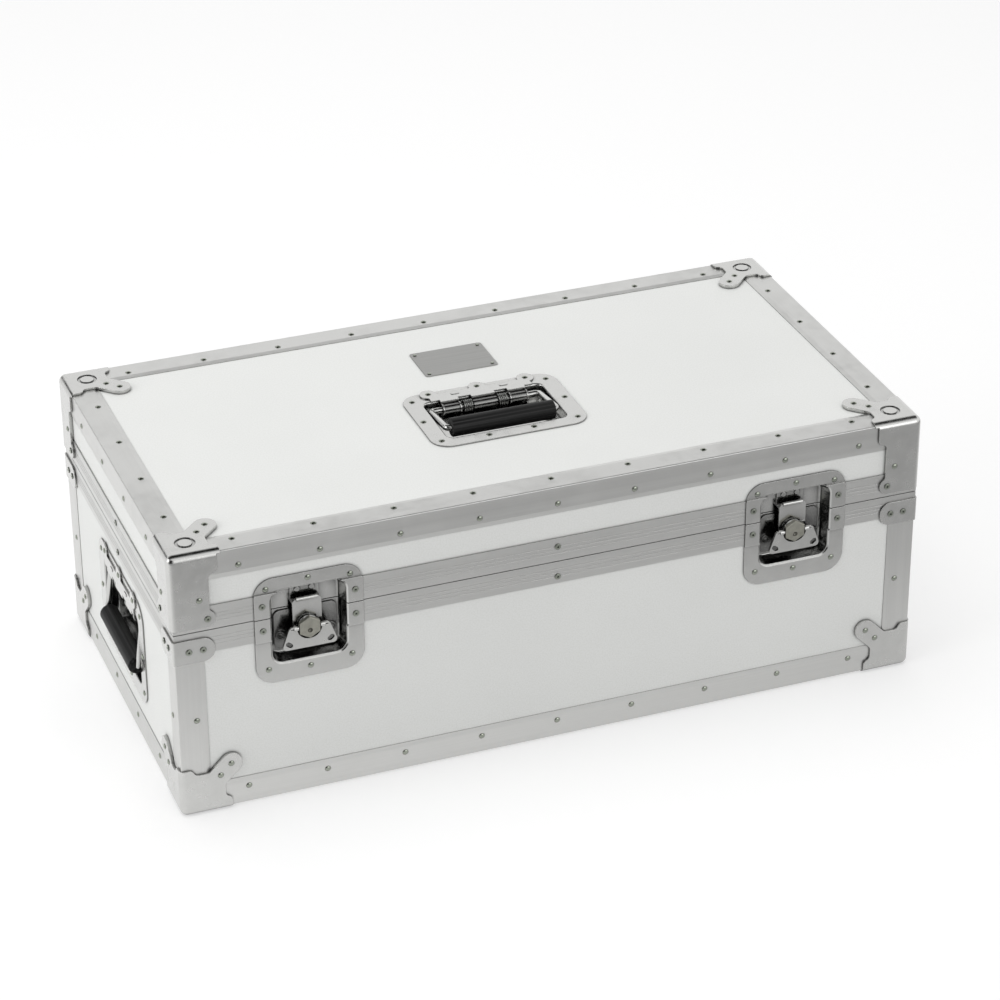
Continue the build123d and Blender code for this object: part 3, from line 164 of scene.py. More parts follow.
def add_node(tree, kind, inputs=None, **settings):
    """A shader node with its settings and inputs, each by name, or by number where some share one name."""
    node = tree.nodes.new(kind)
    for name, value in settings.items():
        setattr(node, name, value)
    for key, value in (inputs or {}).items():
        if isinstance(key, int):
            socket = node.inputs[key]
        else:
            socket = next(socket for socket in node.inputs if socket.enabled and socket.name == key)
        feed(tree, socket, value)
    return node


def new_material(name, **shader):
    """A material with one Principled shader, whose even values are set on its own sockets."""
    material = bpy.data.materials.new(name)
    material.use_nodes = True
    tree = material.node_tree
    surface = tree.nodes["Principled BSDF"]
    drive(tree, surface, **shader)
    return material, tree, surface


def drive(tree, surface, **sockets):
    """Feeds the shader's inputs, whose names have underscores for spaces."""
    for socket, value in sockets.items():
        feed(tree, surface.inputs[socket.replace("_", " ")], value)


def two_tone(tree, pattern, low, high, start=noise_low, end=noise_high):
    """A colour that goes from low to high as a pattern goes from start to end."""
    share = add_node(tree, "ShaderNodeMapRange", {"Value": pattern, "From Min": start, "From Max": end})
    return add_node(
        tree, "ShaderNodeMix", {"Factor": share, "A": tuple(low), "B": tuple(high)}, data_type="RGBA"
    )


def with_painted_crevice_shade(tree, colour, reach_mm, deep, start=0.45):
    """A colour as it is on open faces, darkened by painted shade to its deep share in seams, holes and inner
    corners.
    It is darkest where no more than the start's share of the surroundings within reach is open."""
    around = add_node(
        tree, "ShaderNodeAmbientOcclusion", {"Distance": reach_mm * mm}, samples=nearby_samples
    )
    opened = {"Value": around.outputs["AO"], "From Min": start, "From Max": open_share, "To Min": deep}
    shaded = {"Factor": 1.0, "A": colour, "B": add_node(tree, "ShaderNodeMapRange", opened)}
    return add_node(tree, "ShaderNodeMix", shaded, data_type="RGBA", blend_type="MULTIPLY")


def worked_face(tree, height, depth_mm, edge_mm):
    """The normal of sheet or bar whose faces have a height pattern of a depth, and whose edges are broken."""
    rounded = add_node(tree, "ShaderNodeBevel", {"Radius": edge_mm * mm}, samples=nearby_samples)
    return add_node(tree, "ShaderNodeBump", {"Height": height, "Distance": depth_mm * mm, "Normal": rounded})


def lengthwise(tree, place, along):
    """The place squeezed along X, Y or Z, so that a pattern on it runs that way in long streaks. Along XY
    means round a mitred frame: along X on its long runs, and along Y on its short ones."""
    squeezed = []
    for axis in along:
        scale = [streak_squeeze if name == axis else 1.0 for name in "XYZ"]
        squeezed.append(add_node(tree, "ShaderNodeMapping", {"Vector": place, "Scale": scale}))
    if len(squeezed) == 1:
        return squeezed[0]
    split = add_node(tree, "ShaderNodeSeparateXYZ", {"Vector": place})
    from_edge = []
    for axis, half in (("X", edging_half_x), ("Y", edging_half_y)):
        from_middle = add_node(tree, "ShaderNodeMath", {0: split.outputs[axis]}, operation="ABSOLUTE")
        from_edge.append(add_node(tree, "ShaderNodeMath", {0: half, 1: from_middle}, operation="SUBTRACT"))
    short_run = add_node(tree, "ShaderNodeMath", {0: from_edge[0], 1: from_edge[1]}, operation="LESS_THAN")
    return add_node(
        tree, "ShaderNodeMix", {"Factor": short_run, "A": squeezed[0], "B": squeezed[1]}, data_type="VECTOR"
    )


def knuckle_painted_shade(tree, place, joint, across):
    """A share that is the knuckles' painted shade tone within their radius of a joint's axis, and 1 just
    outside it. The distance is taken in Z and in the axis across: Y, or X, which counts alike on the left and
    the right."""
    pivot = dict(zip("XYZ", joints[joint]["pos_m"]))
    split = add_node(tree, "ShaderNodeSeparateXYZ", {"Vector": place})
    sideways = split.outputs[across]
    if across == "X":
        sideways = add_node(tree, "ShaderNodeMath", {0: sideways}, operation="ABSOLUTE")
        pivot["X"] = abs(pivot["X"])
    squares = []
    for value, middle in ((sideways, pivot[across]), (split.outputs["Z"], pivot["Z"])):
        away = add_node(tree, "ShaderNodeMath", {0: value, 1: middle}, operation="SUBTRACT")
        squares.append(add_node(tree, "ShaderNodeMath", {0: away, 1: 2.0}, operation="POWER"))
    total = add_node(tree, "ShaderNodeMath", {0: squares[0], 1: squares[1]}, operation="ADD")
    distance = add_node(tree, "ShaderNodeMath", {0: total}, operation="SQRT")
    return add_node(
        tree,
        "ShaderNodeMapRange",
        {
            "Value": distance,
            "From Min": knuckle_radius,
            "From Max": knuckle_radius + knuckle_edge,
            "To Min": knuckle_shade_tone,
        },
    )


# Finishes

def laminated_panel():
    """Birch plywood under white high-pressure laminate, pressed with a sandy texture.

    The skin looks nearly even: a faint drift in tone, a speckle and a soft sheen from the clear top layer.
    The speckle and the sand are drawn 1.6 and 0.9 mm wide, coarser than the real sand, so that they show.
    """
    panel = bpy.context.scene.lens_case_colours.panel
    material, tree, surface = new_material("white_laminate", IOR=1.5, Coat_Weight=0.12, Coat_Roughness=0.35)
    place = add_node(tree, "ShaderNodeTexCoord").outputs["Object"]
    drift = add_node(tree, "ShaderNodeTexNoise", {"Vector": place, "Scale": 1 / (180 * mm), "Detail": 3})
    speckle = add_node(tree, "ShaderNodeTexNoise", {"Vector": place, "Scale": 1 / (1.6 * mm), "Detail": 2})
    sand = add_node(tree, "ShaderNodeTexNoise", {"Vector": place, "Scale": 1 / (0.9 * mm), "Detail": 3})
    tint = two_tone(tree, drift, toned(panel, 0.965), panel)
    speck = two_tone(tree, speckle, linear("#F9F9F8"), linear("#FFFFFF"), start=0.35, end=0.6)
    both = {"Factor": 1.0, "A": tint, "B": speck}
    speckled = add_node(tree, "ShaderNodeMix", both, data_type="RGBA", blend_type="MULTIPLY")
    gloss = {"Value": speckle, "From Min": noise_low, "From Max": noise_high, "To Min": 0.42, "To Max": 0.56}
    # The colour darkens with painted shade within 2.5 mm of seams and inner corners
    drive(
        tree,
        surface,
        Base_Color=with_painted_crevice_shade(tree, speckled, reach_mm=2.5, deep=0.5),
        Roughness=add_node(tree, "ShaderNodeMapRange", gloss),
        Normal=add_node(tree, "ShaderNodeBump", {"Height": sand, "Distance": 0.03 * mm}),
    )
    return material


def extruded_aluminium(name, along):
    """Extruded aluminium angle with a lengthwise satin brush, handled and a little scuffed.

    The brush gives long light and dark streaks, and the scuffs dull patches. The fine streaks are drawn 1 mm
    wide, coarser than the real brush, so that they show, and the broad ones come from the die.
    """
    edging = bpy.context.scene.lens_case_colours.edging
    material, tree, surface = new_material(name, Metallic=1.0)
    place = add_node(tree, "ShaderNodeTexCoord").outputs["Object"]
    run = lengthwise(tree, place, along)
    fine = add_node(tree, "ShaderNodeTexNoise", {"Vector": run, "Scale": 1 / (1.0 * mm), "Detail": 2})
    broad = add_node(tree, "ShaderNodeTexNoise", {"Vector": run, "Scale": 1 / (7.0 * mm), "Detail": 2})
    cloud = add_node(tree, "ShaderNodeTexNoise", {"Vector": place, "Scale": 1 / (90 * mm), "Detail": 3})
    scuff = add_node(
        tree, "ShaderNodeTexNoise", {"Vector": place, "Scale": 1 / (14 * mm), "Detail": 5, "Roughness": 0.62}
    )
    brush = add_node(tree, "ShaderNodeMix", {"Factor": 0.55, "A": fine, "B": broad}, data_type="FLOAT")
    patches = add_node(tree, "ShaderNodeMath", {0: cloud, 1: scuff}, operation="MULTIPLY")
    satin = {"Value": brush, "From Min": noise_low, "From Max": noise_high, "To Min": 0.28, "To Max": 0.38}
    dulled = {"Value": patches, "From Min": 0.2, "From Max": 0.4, "To Min": 0.0, "To Max": 0.1}
    roughness = {
        0: add_node(tree, "ShaderNodeMapRange", satin),
        1: add_node(tree, "ShaderNodeMapRange", dulled),
    }
    streaked = two_tone(tree, brush, toned(edging, 0.94), edging, start=0.34, end=0.62)
    # The colour darkens with painted shade within 2 mm of seams and inner corners
    drive(
        tree,
        surface,
        Base_Color=with_painted_crevice_shade(tree, streaked, reach_mm=2.0, deep=0.3),
        Roughness=add_node(tree, "ShaderNodeMath", roughness, operation="ADD"),
        Normal=worked_face(tree, fine, depth_mm=0.02, edge_mm=0.5),
    )
    return material


def plated_steel(name, colour, smooth, worn, reach_mm=4.0, deep=0.12, start=0.45):
    """Pressed steel with bright zinc plate.

    It is mirror-like between a smooth and a worn roughness, with the slight waves of the press, dull smears,
    and painted shade that darkens its colour within reach of its corners, holes and seams.
    """
    material, tree, surface = new_material(name, Metallic=1.0)
    place = add_node(tree, "ShaderNodeTexCoord").outputs["Object"]
    wave = add_node(tree, "ShaderNodeTexNoise", {"Vector": place, "Scale": 1 / (26 * mm), "Detail": 2})
    smear = add_node(
        tree, "ShaderNodeTexNoise", {"Vector": place, "Scale": 1 / (16 * mm), "Detail": 4, "Roughness": 0.55}
    )
    smeared = two_tone(tree, smear, toned(colour, 0.94), colour, start=0.3, end=0.6)
    dulled = {"Value": smear, "From Min": 0.4, "From Max": 0.75, "To Min": smooth, "To Max": worn}
    drive(
        tree,
        surface,
        Base_Color=with_painted_crevice_shade(tree, smeared, reach_mm, deep, start),
        Roughness=add_node(tree, "ShaderNodeMapRange", dulled),
        Normal=worked_face(tree, wave, depth_mm=0.06, edge_mm=0.8),
    )
    return material


def hinge_steel(name, colour, joint, across):
    """The handles' zinc-plated hinge plates, whose rolled knuckles round the pivot are darkened by painted
    shade.
    """
    material = plated_steel(name, colour, smooth=0.16, worn=0.32, deep=0.35)
    tree = material.node_tree
    surface = tree.nodes["Principled BSDF"]
    plating = surface.inputs["Base Color"].links[0].from_node
    place = add_node(tree, "ShaderNodeTexCoord").outputs["Object"]
    # Painted shade: the knuckles' colour is darkened round the pivot
    knuckles_shaded = {"Factor": 1.0, "A": plating, "B": knuckle_painted_shade(tree, place, joint, across)}
    darkened = add_node(tree, "ShaderNodeMix", knuckles_shaded, data_type="RGBA", blend_type="MULTIPLY")
    drive(tree, surface, Base_Color=darkened)
    return material


def turned_steel():
    """Turned hexagon bar with a dull grey-green passivated zinc skin, which is cloudy, and has a grain drawn
    0.8 mm wide so that it shows."""
    hexagon = bpy.context.scene.lens_case_colours.hexagon
    material, tree, surface = new_material("passivated_hexagon", Metallic=1.0)
    place = add_node(tree, "ShaderNodeTexCoord").outputs["Object"]
    skin = add_node(
        tree, "ShaderNodeTexNoise", {"Vector": place, "Scale": 1 / (4 * mm), "Detail": 4, "Roughness": 0.6}
    )
    grain = add_node(tree, "ShaderNodeTexNoise", {"Vector": place, "Scale": 1 / (0.8 * mm), "Detail": 2})
    clouded = two_tone(tree, skin, toned(hexagon, 0.8), hexagon, start=0.3, end=0.65)
    dulled = {"Value": skin, "From Min": noise_low, "From Max": noise_high, "To Min": 0.34, "To Max": 0.5}
    # The colour darkens with painted shade within 5 mm of inner corners
    drive(
        tree,
        surface,
        Base_Color=with_painted_crevice_shade(tree, clouded, reach_mm=5.0, deep=0.1),
        Roughness=add_node(tree, "ShaderNodeMapRange", dulled),
        Normal=worked_face(tree, grain, depth_mm=0.03, edge_mm=0.4),
    )
    return material


def drawn_wire(name, dark, light):
    """Drawn wire for springs and hinge pins, darker or bright, smooth with small dull marks."""
    material, tree, surface = new_material(name, Metallic=1.0)
    place = add_node(tree, "ShaderNodeTexCoord").outputs["Object"]
    marks = add_node(tree, "ShaderNodeTexNoise", {"Vector": place, "Scale": 1 / (2.0 * mm), "Detail": 3})
    dulled = {"Value": marks, "From Min": noise_low, "From Max": noise_high, "To Min": 0.16, "To Max": 0.34}
    drive(
        tree,
        surface,
        Base_Color=two_tone(tree, marks, linear(dark), linear(light)),
        Roughness=add_node(tree, "ShaderNodeMapRange", dulled),
        Normal=add_node(tree, "ShaderNodeBump", {"Height": marks, "Distance": 0.02 * mm}),
    )
    return material


def moulded_rubber(name, along):
    """Black moulded rubber: a dull skin with lighter grey streaks that run lengthwise all round, a painted
    sheen like the lighter lines on its upper side, and a fine pebble drawn 0.8 mm wide, a little coarser than
    the real one."""
    grip = bpy.context.scene.lens_case_colours.grip
    material, tree, surface = new_material(name, IOR=1.5, Specular_IOR_Level=0.16)
    place = add_node(tree, "ShaderNodeTexCoord").outputs["Object"]
    run = lengthwise(tree, place, along)
    pebble = add_node(tree, "ShaderNodeTexNoise", {"Vector": place, "Scale": 1 / (0.8 * mm), "Detail": 3})
    sheen_streaks = add_node(tree, "ShaderNodeTexNoise", {"Vector": run, "Scale": 1 / (2.5 * mm), "Detail": 4})
    dulled = {"Value": sheen_streaks, "From Min": noise_low, "From Max": noise_high, "To Min": 0.36, "To Max": 0.6}
    # The grey streaks in the colour are painted sheen
    drive(
        tree,
        surface,
        Base_Color=two_tone(tree, sheen_streaks, grip, toned(grip, 14.0), start=0.4, end=0.72),
        Roughness=add_node(tree, "ShaderNodeMapRange", dulled),
        Normal=add_node(tree, "ShaderNodeBump", {"Height": pebble, "Distance": 0.05 * mm}),
    )
    return material


def open_cell_foam():
    """Charcoal polyether foam, cut: open cells, drawn 1.6 mm wide so that they show, each darker towards its
    middle as painted shade in the pore, and no gloss at all.
    """
    foam = bpy.context.scene.lens_case_colours.foam
    material, tree, surface = new_material("charcoal_open_cell_foam", Specular_IOR_Level=0.15)
    place = add_node(tree, "ShaderNodeTexCoord").outputs["Object"]
    cells = add_node(tree, "ShaderNodeTexVoronoi", {"Vector": place, "Scale": 1 / (1.6 * mm)})
    shade = add_node(tree, "ShaderNodeTexNoise", {"Vector": place, "Scale": 1 / (40 * mm), "Detail": 3})
    # Each cell darkens towards its middle: painted shade in the open pores
    depth = add_node(tree, "ShaderNodeMath", {0: cells, 1: shade}, operation="MULTIPLY")
    fuzz = {"Value": cells, "From Min": noise_low, "From Max": noise_high, "To Min": 0.88, "To Max": 1.0}
    drive(
        tree,
        surface,
        Base_Color=two_tone(tree, depth, foam, toned(foam, 2.4), start=0.05, end=0.5),
        Roughness=add_node(tree, "ShaderNodeMapRange", fuzz),
        Normal=add_node(tree, "ShaderNodeBump", {"Height": cells, "Distance": 0.5 * mm}),
    )
    return material


def brushed_plate():
    """A thin blank aluminium plate, brushed along its length, darker than the case's edging. The brush is
    drawn 0.9 mm wide, coarser than the real one, so that it shows."""
    plate = bpy.context.scene.lens_case_colours.name_plate
    material, tree, surface = new_material("brushed_name_plate", Metallic=1.0)
    place = add_node(tree, "ShaderNodeTexCoord").outputs["Object"]
    run = lengthwise(tree, place, "X")
    brush = add_node(tree, "ShaderNodeTexNoise", {"Vector": run, "Scale": 1 / (0.9 * mm), "Detail": 2})
    satin = {"Value": brush, "From Min": noise_low, "From Max": noise_high, "To Min": 0.3, "To Max": 0.42}
    drive(
        tree,
        surface,
        Base_Color=two_tone(tree, brush, toned(plate, 0.78), plate),
        Roughness=add_node(tree, "ShaderNodeMapRange", satin),
        Normal=worked_face(tree, brush, depth_mm=0.02, edge_mm=0.3),
    )
    return material


# Meshes

def with_ending(*endings):
    """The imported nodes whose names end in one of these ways."""
    return [name for name in nodes if name.endswith(endings)]


def paint(names, material):
    """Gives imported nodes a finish."""
    for name in names:
        nodes[name].data.materials.clear()
        nodes[name].data.materials.append(material)


def grid_mesh(name, points):
    """A mesh from a grid of points: each four neighbours are joined by a face, whose normal is the way of the
    first parameter crossed with the way of the second."""
    rows, columns = points.shape[:2]
    number = np.arange(rows * columns).reshape(rows, columns)
    corners = (number[:-1, :-1], number[1:, :-1], number[1:, 1:], number[:-1, 1:])
    faces = np.stack([corner.ravel() for corner in corners], 1)
    mesh = bpy.data.meshes.new(name)
    mesh.from_pydata(points.reshape(-1, 3).tolist(), [], faces.tolist())
    mesh.polygons.foreach_set("use_smooth", np.ones(len(faces), bool))
    mesh.update()
    return mesh


def add_piece(name, mesh, body, material):
    """Puts a mesh in the scene as a piece that rides on a body."""
    piece = bpy.data.objects.new(name, mesh)
    bpy.context.scene.collection.objects.link(piece)
    mesh.materials.clear()
    mesh.materials.append(material)
    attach(piece, body)
    return piece


def remeshed(name, cell):
    """A merged copy of a node's mesh, rebuilt in even cells and with its edges smoothed."""
    mesh = nodes[name].data.copy()
    work = bmesh.new()
    work.from_mesh(mesh)
    bmesh.ops.remove_doubles(work, verts=work.verts, dist=merge_distance)
    work.to_mesh(mesh)
    work.free()
    draft = bpy.data.objects.new(name + "_cut", mesh)
    bpy.context.scene.collection.objects.link(draft)
    cells = draft.modifiers.new("even_cells", "REMESH")
    cells.mode = "VOXEL"
    cells.voxel_size = cell
    smooth = draft.modifiers.new("soft_edges", "SMOOTH")
    smooth.factor = 0.5
    smooth.iterations = 3
    shaped = bpy.data.meshes.new_from_object(draft.evaluated_get(bpy.context.evaluated_depsgraph_get()))
    bpy.data.objects.remove(draft)
    return shaped


def soften_foam(name, material, cell, swell):
    """Stands for a foam node: its remeshed copy, whose faces are set in by a swell's depth, more or less of
    it by the product of a sine wave of the place along each axis."""
    shaped = remeshed(name, cell)
    count = len(shaped.vertices)
    points = np.empty(count * 3, np.float32)
    shaped.vertices.foreach_get("co", points)
    points = points.reshape(-1, 3)
    normals = np.empty(count * 3, np.float32)
    shaped.vertex_normals.foreach_get("vector", normals)
    normals = normals.reshape(-1, 3)
    wander = np.sin(points * wander_rates + wander_starts).prod(axis=1)
    points -= normals * (swell * (1 + wander))[:, None]
    shaped.vertices.foreach_set("co", points.ravel())
    shaped.polygons.foreach_set("use_smooth", np.ones(len(shaped.polygons), bool))
    shaped.update()
    piece = add_piece(name + "_cut", shaped, nodes[name]["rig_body"], material)
    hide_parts(name)


# Stage

def add_camera(scene):
    """The camera looks along its azimuth and elevation from its distance, moved right and up, then rolled."""
    back = Vector(
        (
            math.sin(camera_azimuth) * math.cos(camera_elevation),
            -math.cos(camera_azimuth) * math.cos(camera_elevation),
            math.sin(camera_elevation),
        )
    )
    level_right = Vector((0, 0, 1)).cross(back).normalized()
    level_up = back.cross(level_right)
    right = math.cos(camera_roll) * level_right + math.sin(camera_roll) * level_up
    up = math.cos(camera_roll) * level_up - math.sin(camera_roll) * level_right
    data = bpy.data.cameras.new("photo_camera")
    data.lens = camera_lens_mm
    data.sensor_width = camera_sensor_mm
    data.clip_end = camera_reach
    camera = bpy.data.objects.new("photo_camera", data)
    scene.collection.objects.link(camera)
    turn = Matrix((right, up, back)).transposed()
    place = Vector((0, 0, edging_bottom)) + back * camera_distance + right * camera_right + up * camera_up
    camera.matrix_world = Matrix.Translation(place) @ turn.to_4x4()
    scene.camera = camera


def ray_sees(tree, ray):
    """1 for a ray that sees: the camera's own, a mirrored one or one through glass. 0 for one that lights."""
    plain = {0: ray.outputs["Is Camera Ray"], 1: ray.outputs["Is Glossy Ray"]}
    mirrored = add_node(tree, "ShaderNodeMath", plain, operation="MAXIMUM")
    through = {0: mirrored, 1: ray.outputs["Is Transmission Ray"]}
    return add_node(tree, "ShaderNodeMath", through, operation="MAXIMUM")


def before_case(tree, place):
    """How far a point of the floor lies in front of the case, and a little for how far to the right."""
    split = add_node(tree, "ShaderNodeSeparateXYZ", {"Vector": place})
    right = add_node(tree, "ShaderNodeMath", {0: split.outputs["X"], 1: edging_half_x}, operation="ADD")
    share = add_node(tree, "ShaderNodeMath", {0: right, 1: falloff_sideways}, operation="MULTIPLY")
    front = add_node(tree, "ShaderNodeMath", {0: share, 1: split.outputs["Y"]}, operation="SUBTRACT")
    return add_node(tree, "ShaderNodeMath", {0: front, 1: edging_half_y}, operation="SUBTRACT")


def paper_floor():
    """A white paper sweep: full white for the camera with a soft shadow, and falling off to grey towards the
    camera in what the metal reflects only, as a painted darker reflection."""
    material, tree, surface = new_material("white_paper_sweep", Roughness=0.9, Specular_IOR_Level=0.1)
    ray = add_node(tree, "ShaderNodeLightPath")
    seen = ray_sees(tree, ray)
    tones = {"Value": seen, "To Min": paper_lighting_tone, "To Max": paper_seen_tone}
    drive(tree, surface, Base_Color=add_node(tree, "ShaderNodeMapRange", tones))
    strength = add_node(tree, "ShaderNodeMath", {0: seen, 1: paper_glow}, operation="MULTIPLY")
    glow = add_node(tree, "ShaderNodeEmission", {"Color": (1, 1, 1, 1), "Strength": strength})
    lit = add_node(tree, "ShaderNodeAddShader", {0: surface, 1: glow})
    place = add_node(tree, "ShaderNodeTexCoord").outputs["Object"]
    falloff = add_node(
        tree,
        "ShaderNodeMapRange",
        {
            "Value": before_case(tree, place),
            "From Max": falloff_distance,
            "To Min": falloff_near,
            "To Max": falloff_far,
        },
    )
    # Painted reflection: mirrored rays find the floor darker in front of the case than the camera does
    painted_reflection_loss = add_node(
        tree, "ShaderNodeMath", {0: falloff, 1: ray.outputs["Is Glossy Ray"]}, operation="MULTIPLY"
    )
    unlit = add_node(tree, "ShaderNodeEmission", {"Strength": 0.0})
    mix = add_node(tree, "ShaderNodeMixShader", {0: painted_reflection_loss, 1: lit, 2: unlit})
    feed(tree, tree.nodes["Material Output"].inputs["Surface"], mix)
    return material


def dark_felt(name, measure, middle, reach):
    """Dark felt that thins out to nothing at a card's two edges, so that what it draws in the metal is soft.
    The measure works out from a place's X, Y and Z how far across the card it lies."""
    material, tree, surface = new_material(name, Roughness=1.0, Specular_IOR_Level=0.0)
    drive(tree, surface, Base_Color=linear("#202220"))
    place = add_node(tree, "ShaderNodeTexCoord").outputs["Object"]
    split = add_node(tree, "ShaderNodeSeparateXYZ", {"Vector": place})
    away = add_node(
        tree, "ShaderNodeMath", {0: measure(tree, split.outputs), 1: middle}, operation="SUBTRACT"
    )
    from_middle = add_node(tree, "ShaderNodeMath", {0: away}, operation="ABSOLUTE")
    cover = add_node(
        tree,
        "ShaderNodeMapRange",
        {
            "Value": from_middle,
            "From Min": felt_solid_share * reach,
            "From Max": reach,
            "To Min": 1.0,
            "To Max": 0.0,
        },
    )
    clear = add_node(tree, "ShaderNodeBsdfTransparent")
    mix = add_node(tree, "ShaderNodeMixShader", {0: cover, 1: clear, 2: surface})
    feed(tree, tree.nodes["Material Output"].inputs["Surface"], mix)
    return material


def add_card(name, u, v, to_place, material):
    """A stage card from two ranges of steps and a function that places them."""
    u, v = np.meshgrid(u, v, indexing="ij")
    mesh = grid_mesh(name, np.stack(to_place(u, v), -1))
    card = bpy.data.objects.new(name, mesh)
    bpy.context.scene.collection.objects.link(card)
    mesh.materials.append(material)
    return card


def add_floor():
    """A wide white floor at the caps' undersides."""
    half_width = 8
    steps = np.linspace(-half_width, half_width, 9)
    add_card("studio_floor", steps, steps, lambda u, v: (u, v, np.zeros_like(u)), paper_floor())


def add_front_left_screen(up):
    """An upright curved screen at the front left, between two angles about Z, which darkens one side of the
    rivets' domes."""
    radius, height, half_height = 2.4, 1.3, 1.2
    middle, reach = math.radians(-135), math.radians(42)
    felt = dark_felt(
        "front_left_felt",
        lambda tree, at: add_node(tree, "ShaderNodeMath", {0: at["Y"], 1: at["X"]}, operation="ARCTAN2"),
        middle,
        reach,
    )
    return add_card(
        "front_left_screen",
        np.linspace(middle - reach, middle + reach, 17),
        up,
        lambda a, v: (radius * np.cos(a), radius * np.sin(a), height + half_height * v),
        felt,
    )


def add_overhead_card(across):
    """Part of a tunnel along X, of a radius and between two angles up from the back, which shades rivets,
    rods and the front's round edges."""
    radius, half_length = 2.9, 3.2
    middle, reach = math.radians(84), math.radians(40)
    felt = dark_felt(
        "overhead_felt",
        lambda tree, at: add_node(tree, "ShaderNodeMath", {0: at["Z"], 1: at["Y"]}, operation="ARCTAN2"),
        middle,
        reach,
    )
    return add_card(
        "overhead_card",
        across,
        np.linspace(middle - reach, middle + reach, 25),
        lambda u, a: (half_length * u, radius * np.cos(a), radius * np.sin(a)),
        felt,
    )


def add_left_back_card(across, up):
    """A flat card behind on the left, which draws a dark line along the left edges."""
    middle_x, middle_y, middle_z = -2.6, 3.9, 1.6
    half_x, half_y, half_z = 1.1, 0.5, 0.8
    felt = dark_felt("back_felt", lambda tree, at: at["Z"], middle_z, half_z)
    return add_card(
        "left_back_card",
        across,
        up,
        lambda u, v: (middle_x + half_x * u, middle_y + half_y * u, middle_z + half_z * v),
        felt,
    )


def add_dark_cards():
    """Three dark cards that only reflections see."""
    across, up = np.linspace(-1, 1, 5), np.linspace(-1, 1, 3)
    for card in (add_front_left_screen(up), add_overhead_card(across), add_left_back_card(across, up)):
        card.visible_camera = False
        card.visible_diffuse = False
        card.visible_shadow = False


def add_lamp(scene, name, place, width, height, watts):
    """A soft box: an area lamp that faces the case's middle."""
    data = bpy.data.lights.new(name, "AREA")
    data.shape = "RECTANGLE"
    data.size = width
    data.size_y = height
    data.energy = watts
    lamp = bpy.data.objects.new(name, data)
    scene.collection.objects.link(lamp)
    lamp.location = place
    middle = Vector((0, 0, 0.15))
    lamp.rotation_euler = (middle - Vector(place)).to_track_quat("-Z", "Y").to_euler()
    return lamp


def add_lights(scene):
    """A broad soft box behind and above, one from the left, and a weak fill from the front."""
    overhead = add_lamp(scene, "overhead_soft_box", (-0.3, 0.55, 3.2), width=3.2, height=2.2, watts=39)
    overhead.visible_glossy = False
    add_lamp(scene, "left_soft_box", (-3.2, -0.6, 1.6), width=2.0, height=2.0, watts=30)
    add_lamp(scene, "front_fill", (1.6, -3.4, 1.5), width=2.0, height=1.4, watts=10)


def light_world(scene):
    """An even white surround: full white for the camera and in reflections, softer as light on the case."""
    world = bpy.data.worlds.new("white_studio")
    world.use_nodes = True
    tree = world.node_tree
    background = tree.nodes["Background"]
    seen = ray_sees(tree, add_node(tree, "ShaderNodeLightPath"))
    strength = add_node(tree, "ShaderNodeMapRange", {"Value": seen, "To Min": world_light})
    drive(tree, background, Color=(1, 1, 1, 1), Strength=strength)
    scene.world = world


# Settings

class LensCaseColours(bpy.types.PropertyGroup):
    """The colours a user would change."""

    panel: bpy.props.FloatVectorProperty(
        name="Panels", description="White laminate", subtype="COLOR", size=4, default=linear("#EDEEEC")
    )
    edging: bpy.props.FloatVectorProperty(
        name="Edging", description="Satin aluminium", subtype="COLOR", size=4, default=linear("#D8D8D6")
    )
    plating: bpy.props.FloatVectorProperty(
        name="Plated steel", description="Zinc plate", subtype="COLOR", size=4, default=linear("#D2D2D0")
    )
    rivets: bpy.props.FloatVectorProperty(
        name="Rivets", description="Plated rivets", subtype="COLOR", size=4, default=linear("#A2A79C")
    )
    hexagon: bpy.props.FloatVectorProperty(
        name="Hexagons", description="Passivated steel", subtype="COLOR", size=4, default=linear("#B0AFA5")
    )
    grip: bpy.props.FloatVectorProperty(
        name="Grips", description="Black rubber", subtype="COLOR", size=4, default=linear("#0B0B0B")
    )
    foam: bpy.props.FloatVectorProperty(
        name="Foam", description="Charcoal foam", subtype="COLOR", size=4, default=linear("#1B1C1E")
    )
    name_plate: bpy.props.FloatVectorProperty(
        name="Name plate", description="Blank plate", subtype="COLOR", size=4, default=linear("#B0B0AE")
    )


class LensCaseSizes(bpy.types.PropertyGroup):
    """The sizes a user would change."""

    foam_cell: bpy.props.FloatProperty(
        name="Foam mesh", description="Spacing of the foam's surface mesh", default=0.006, unit="LENGTH"
    )
    foam_swell: bpy.props.FloatProperty(
        name="Foam unevenness", description="How far the cut faces wander", default=0.0006, unit="LENGTH"
    )


# Operators

class LENS_CASE_OT_panels(bpy.types.Operator):
    """Finish the base and lid panels in white laminate"""

    bl_idname = "lens_case.panels"
    bl_label = "Panels"

    def execute(self, context):
        paint(with_ending("_panel"), laminated_panel())
        return {"FINISHED"}


class LENS_CASE_OT_edging(bpy.types.Operator):
    """Finish the edge angles, corner posts and closure rails in brushed aluminium"""

    bl_idname = "lens_case.edging"
    bl_label = "Edging"

    def execute(self, context):
        paint(with_ending("_edges", "_closure_rails"), extruded_aluminium("satin_aluminium_frame", "XY"))
        paint(with_ending("_corner_posts"), extruded_aluminium("satin_aluminium_upright", "Z"))
        return {"FINISHED"}


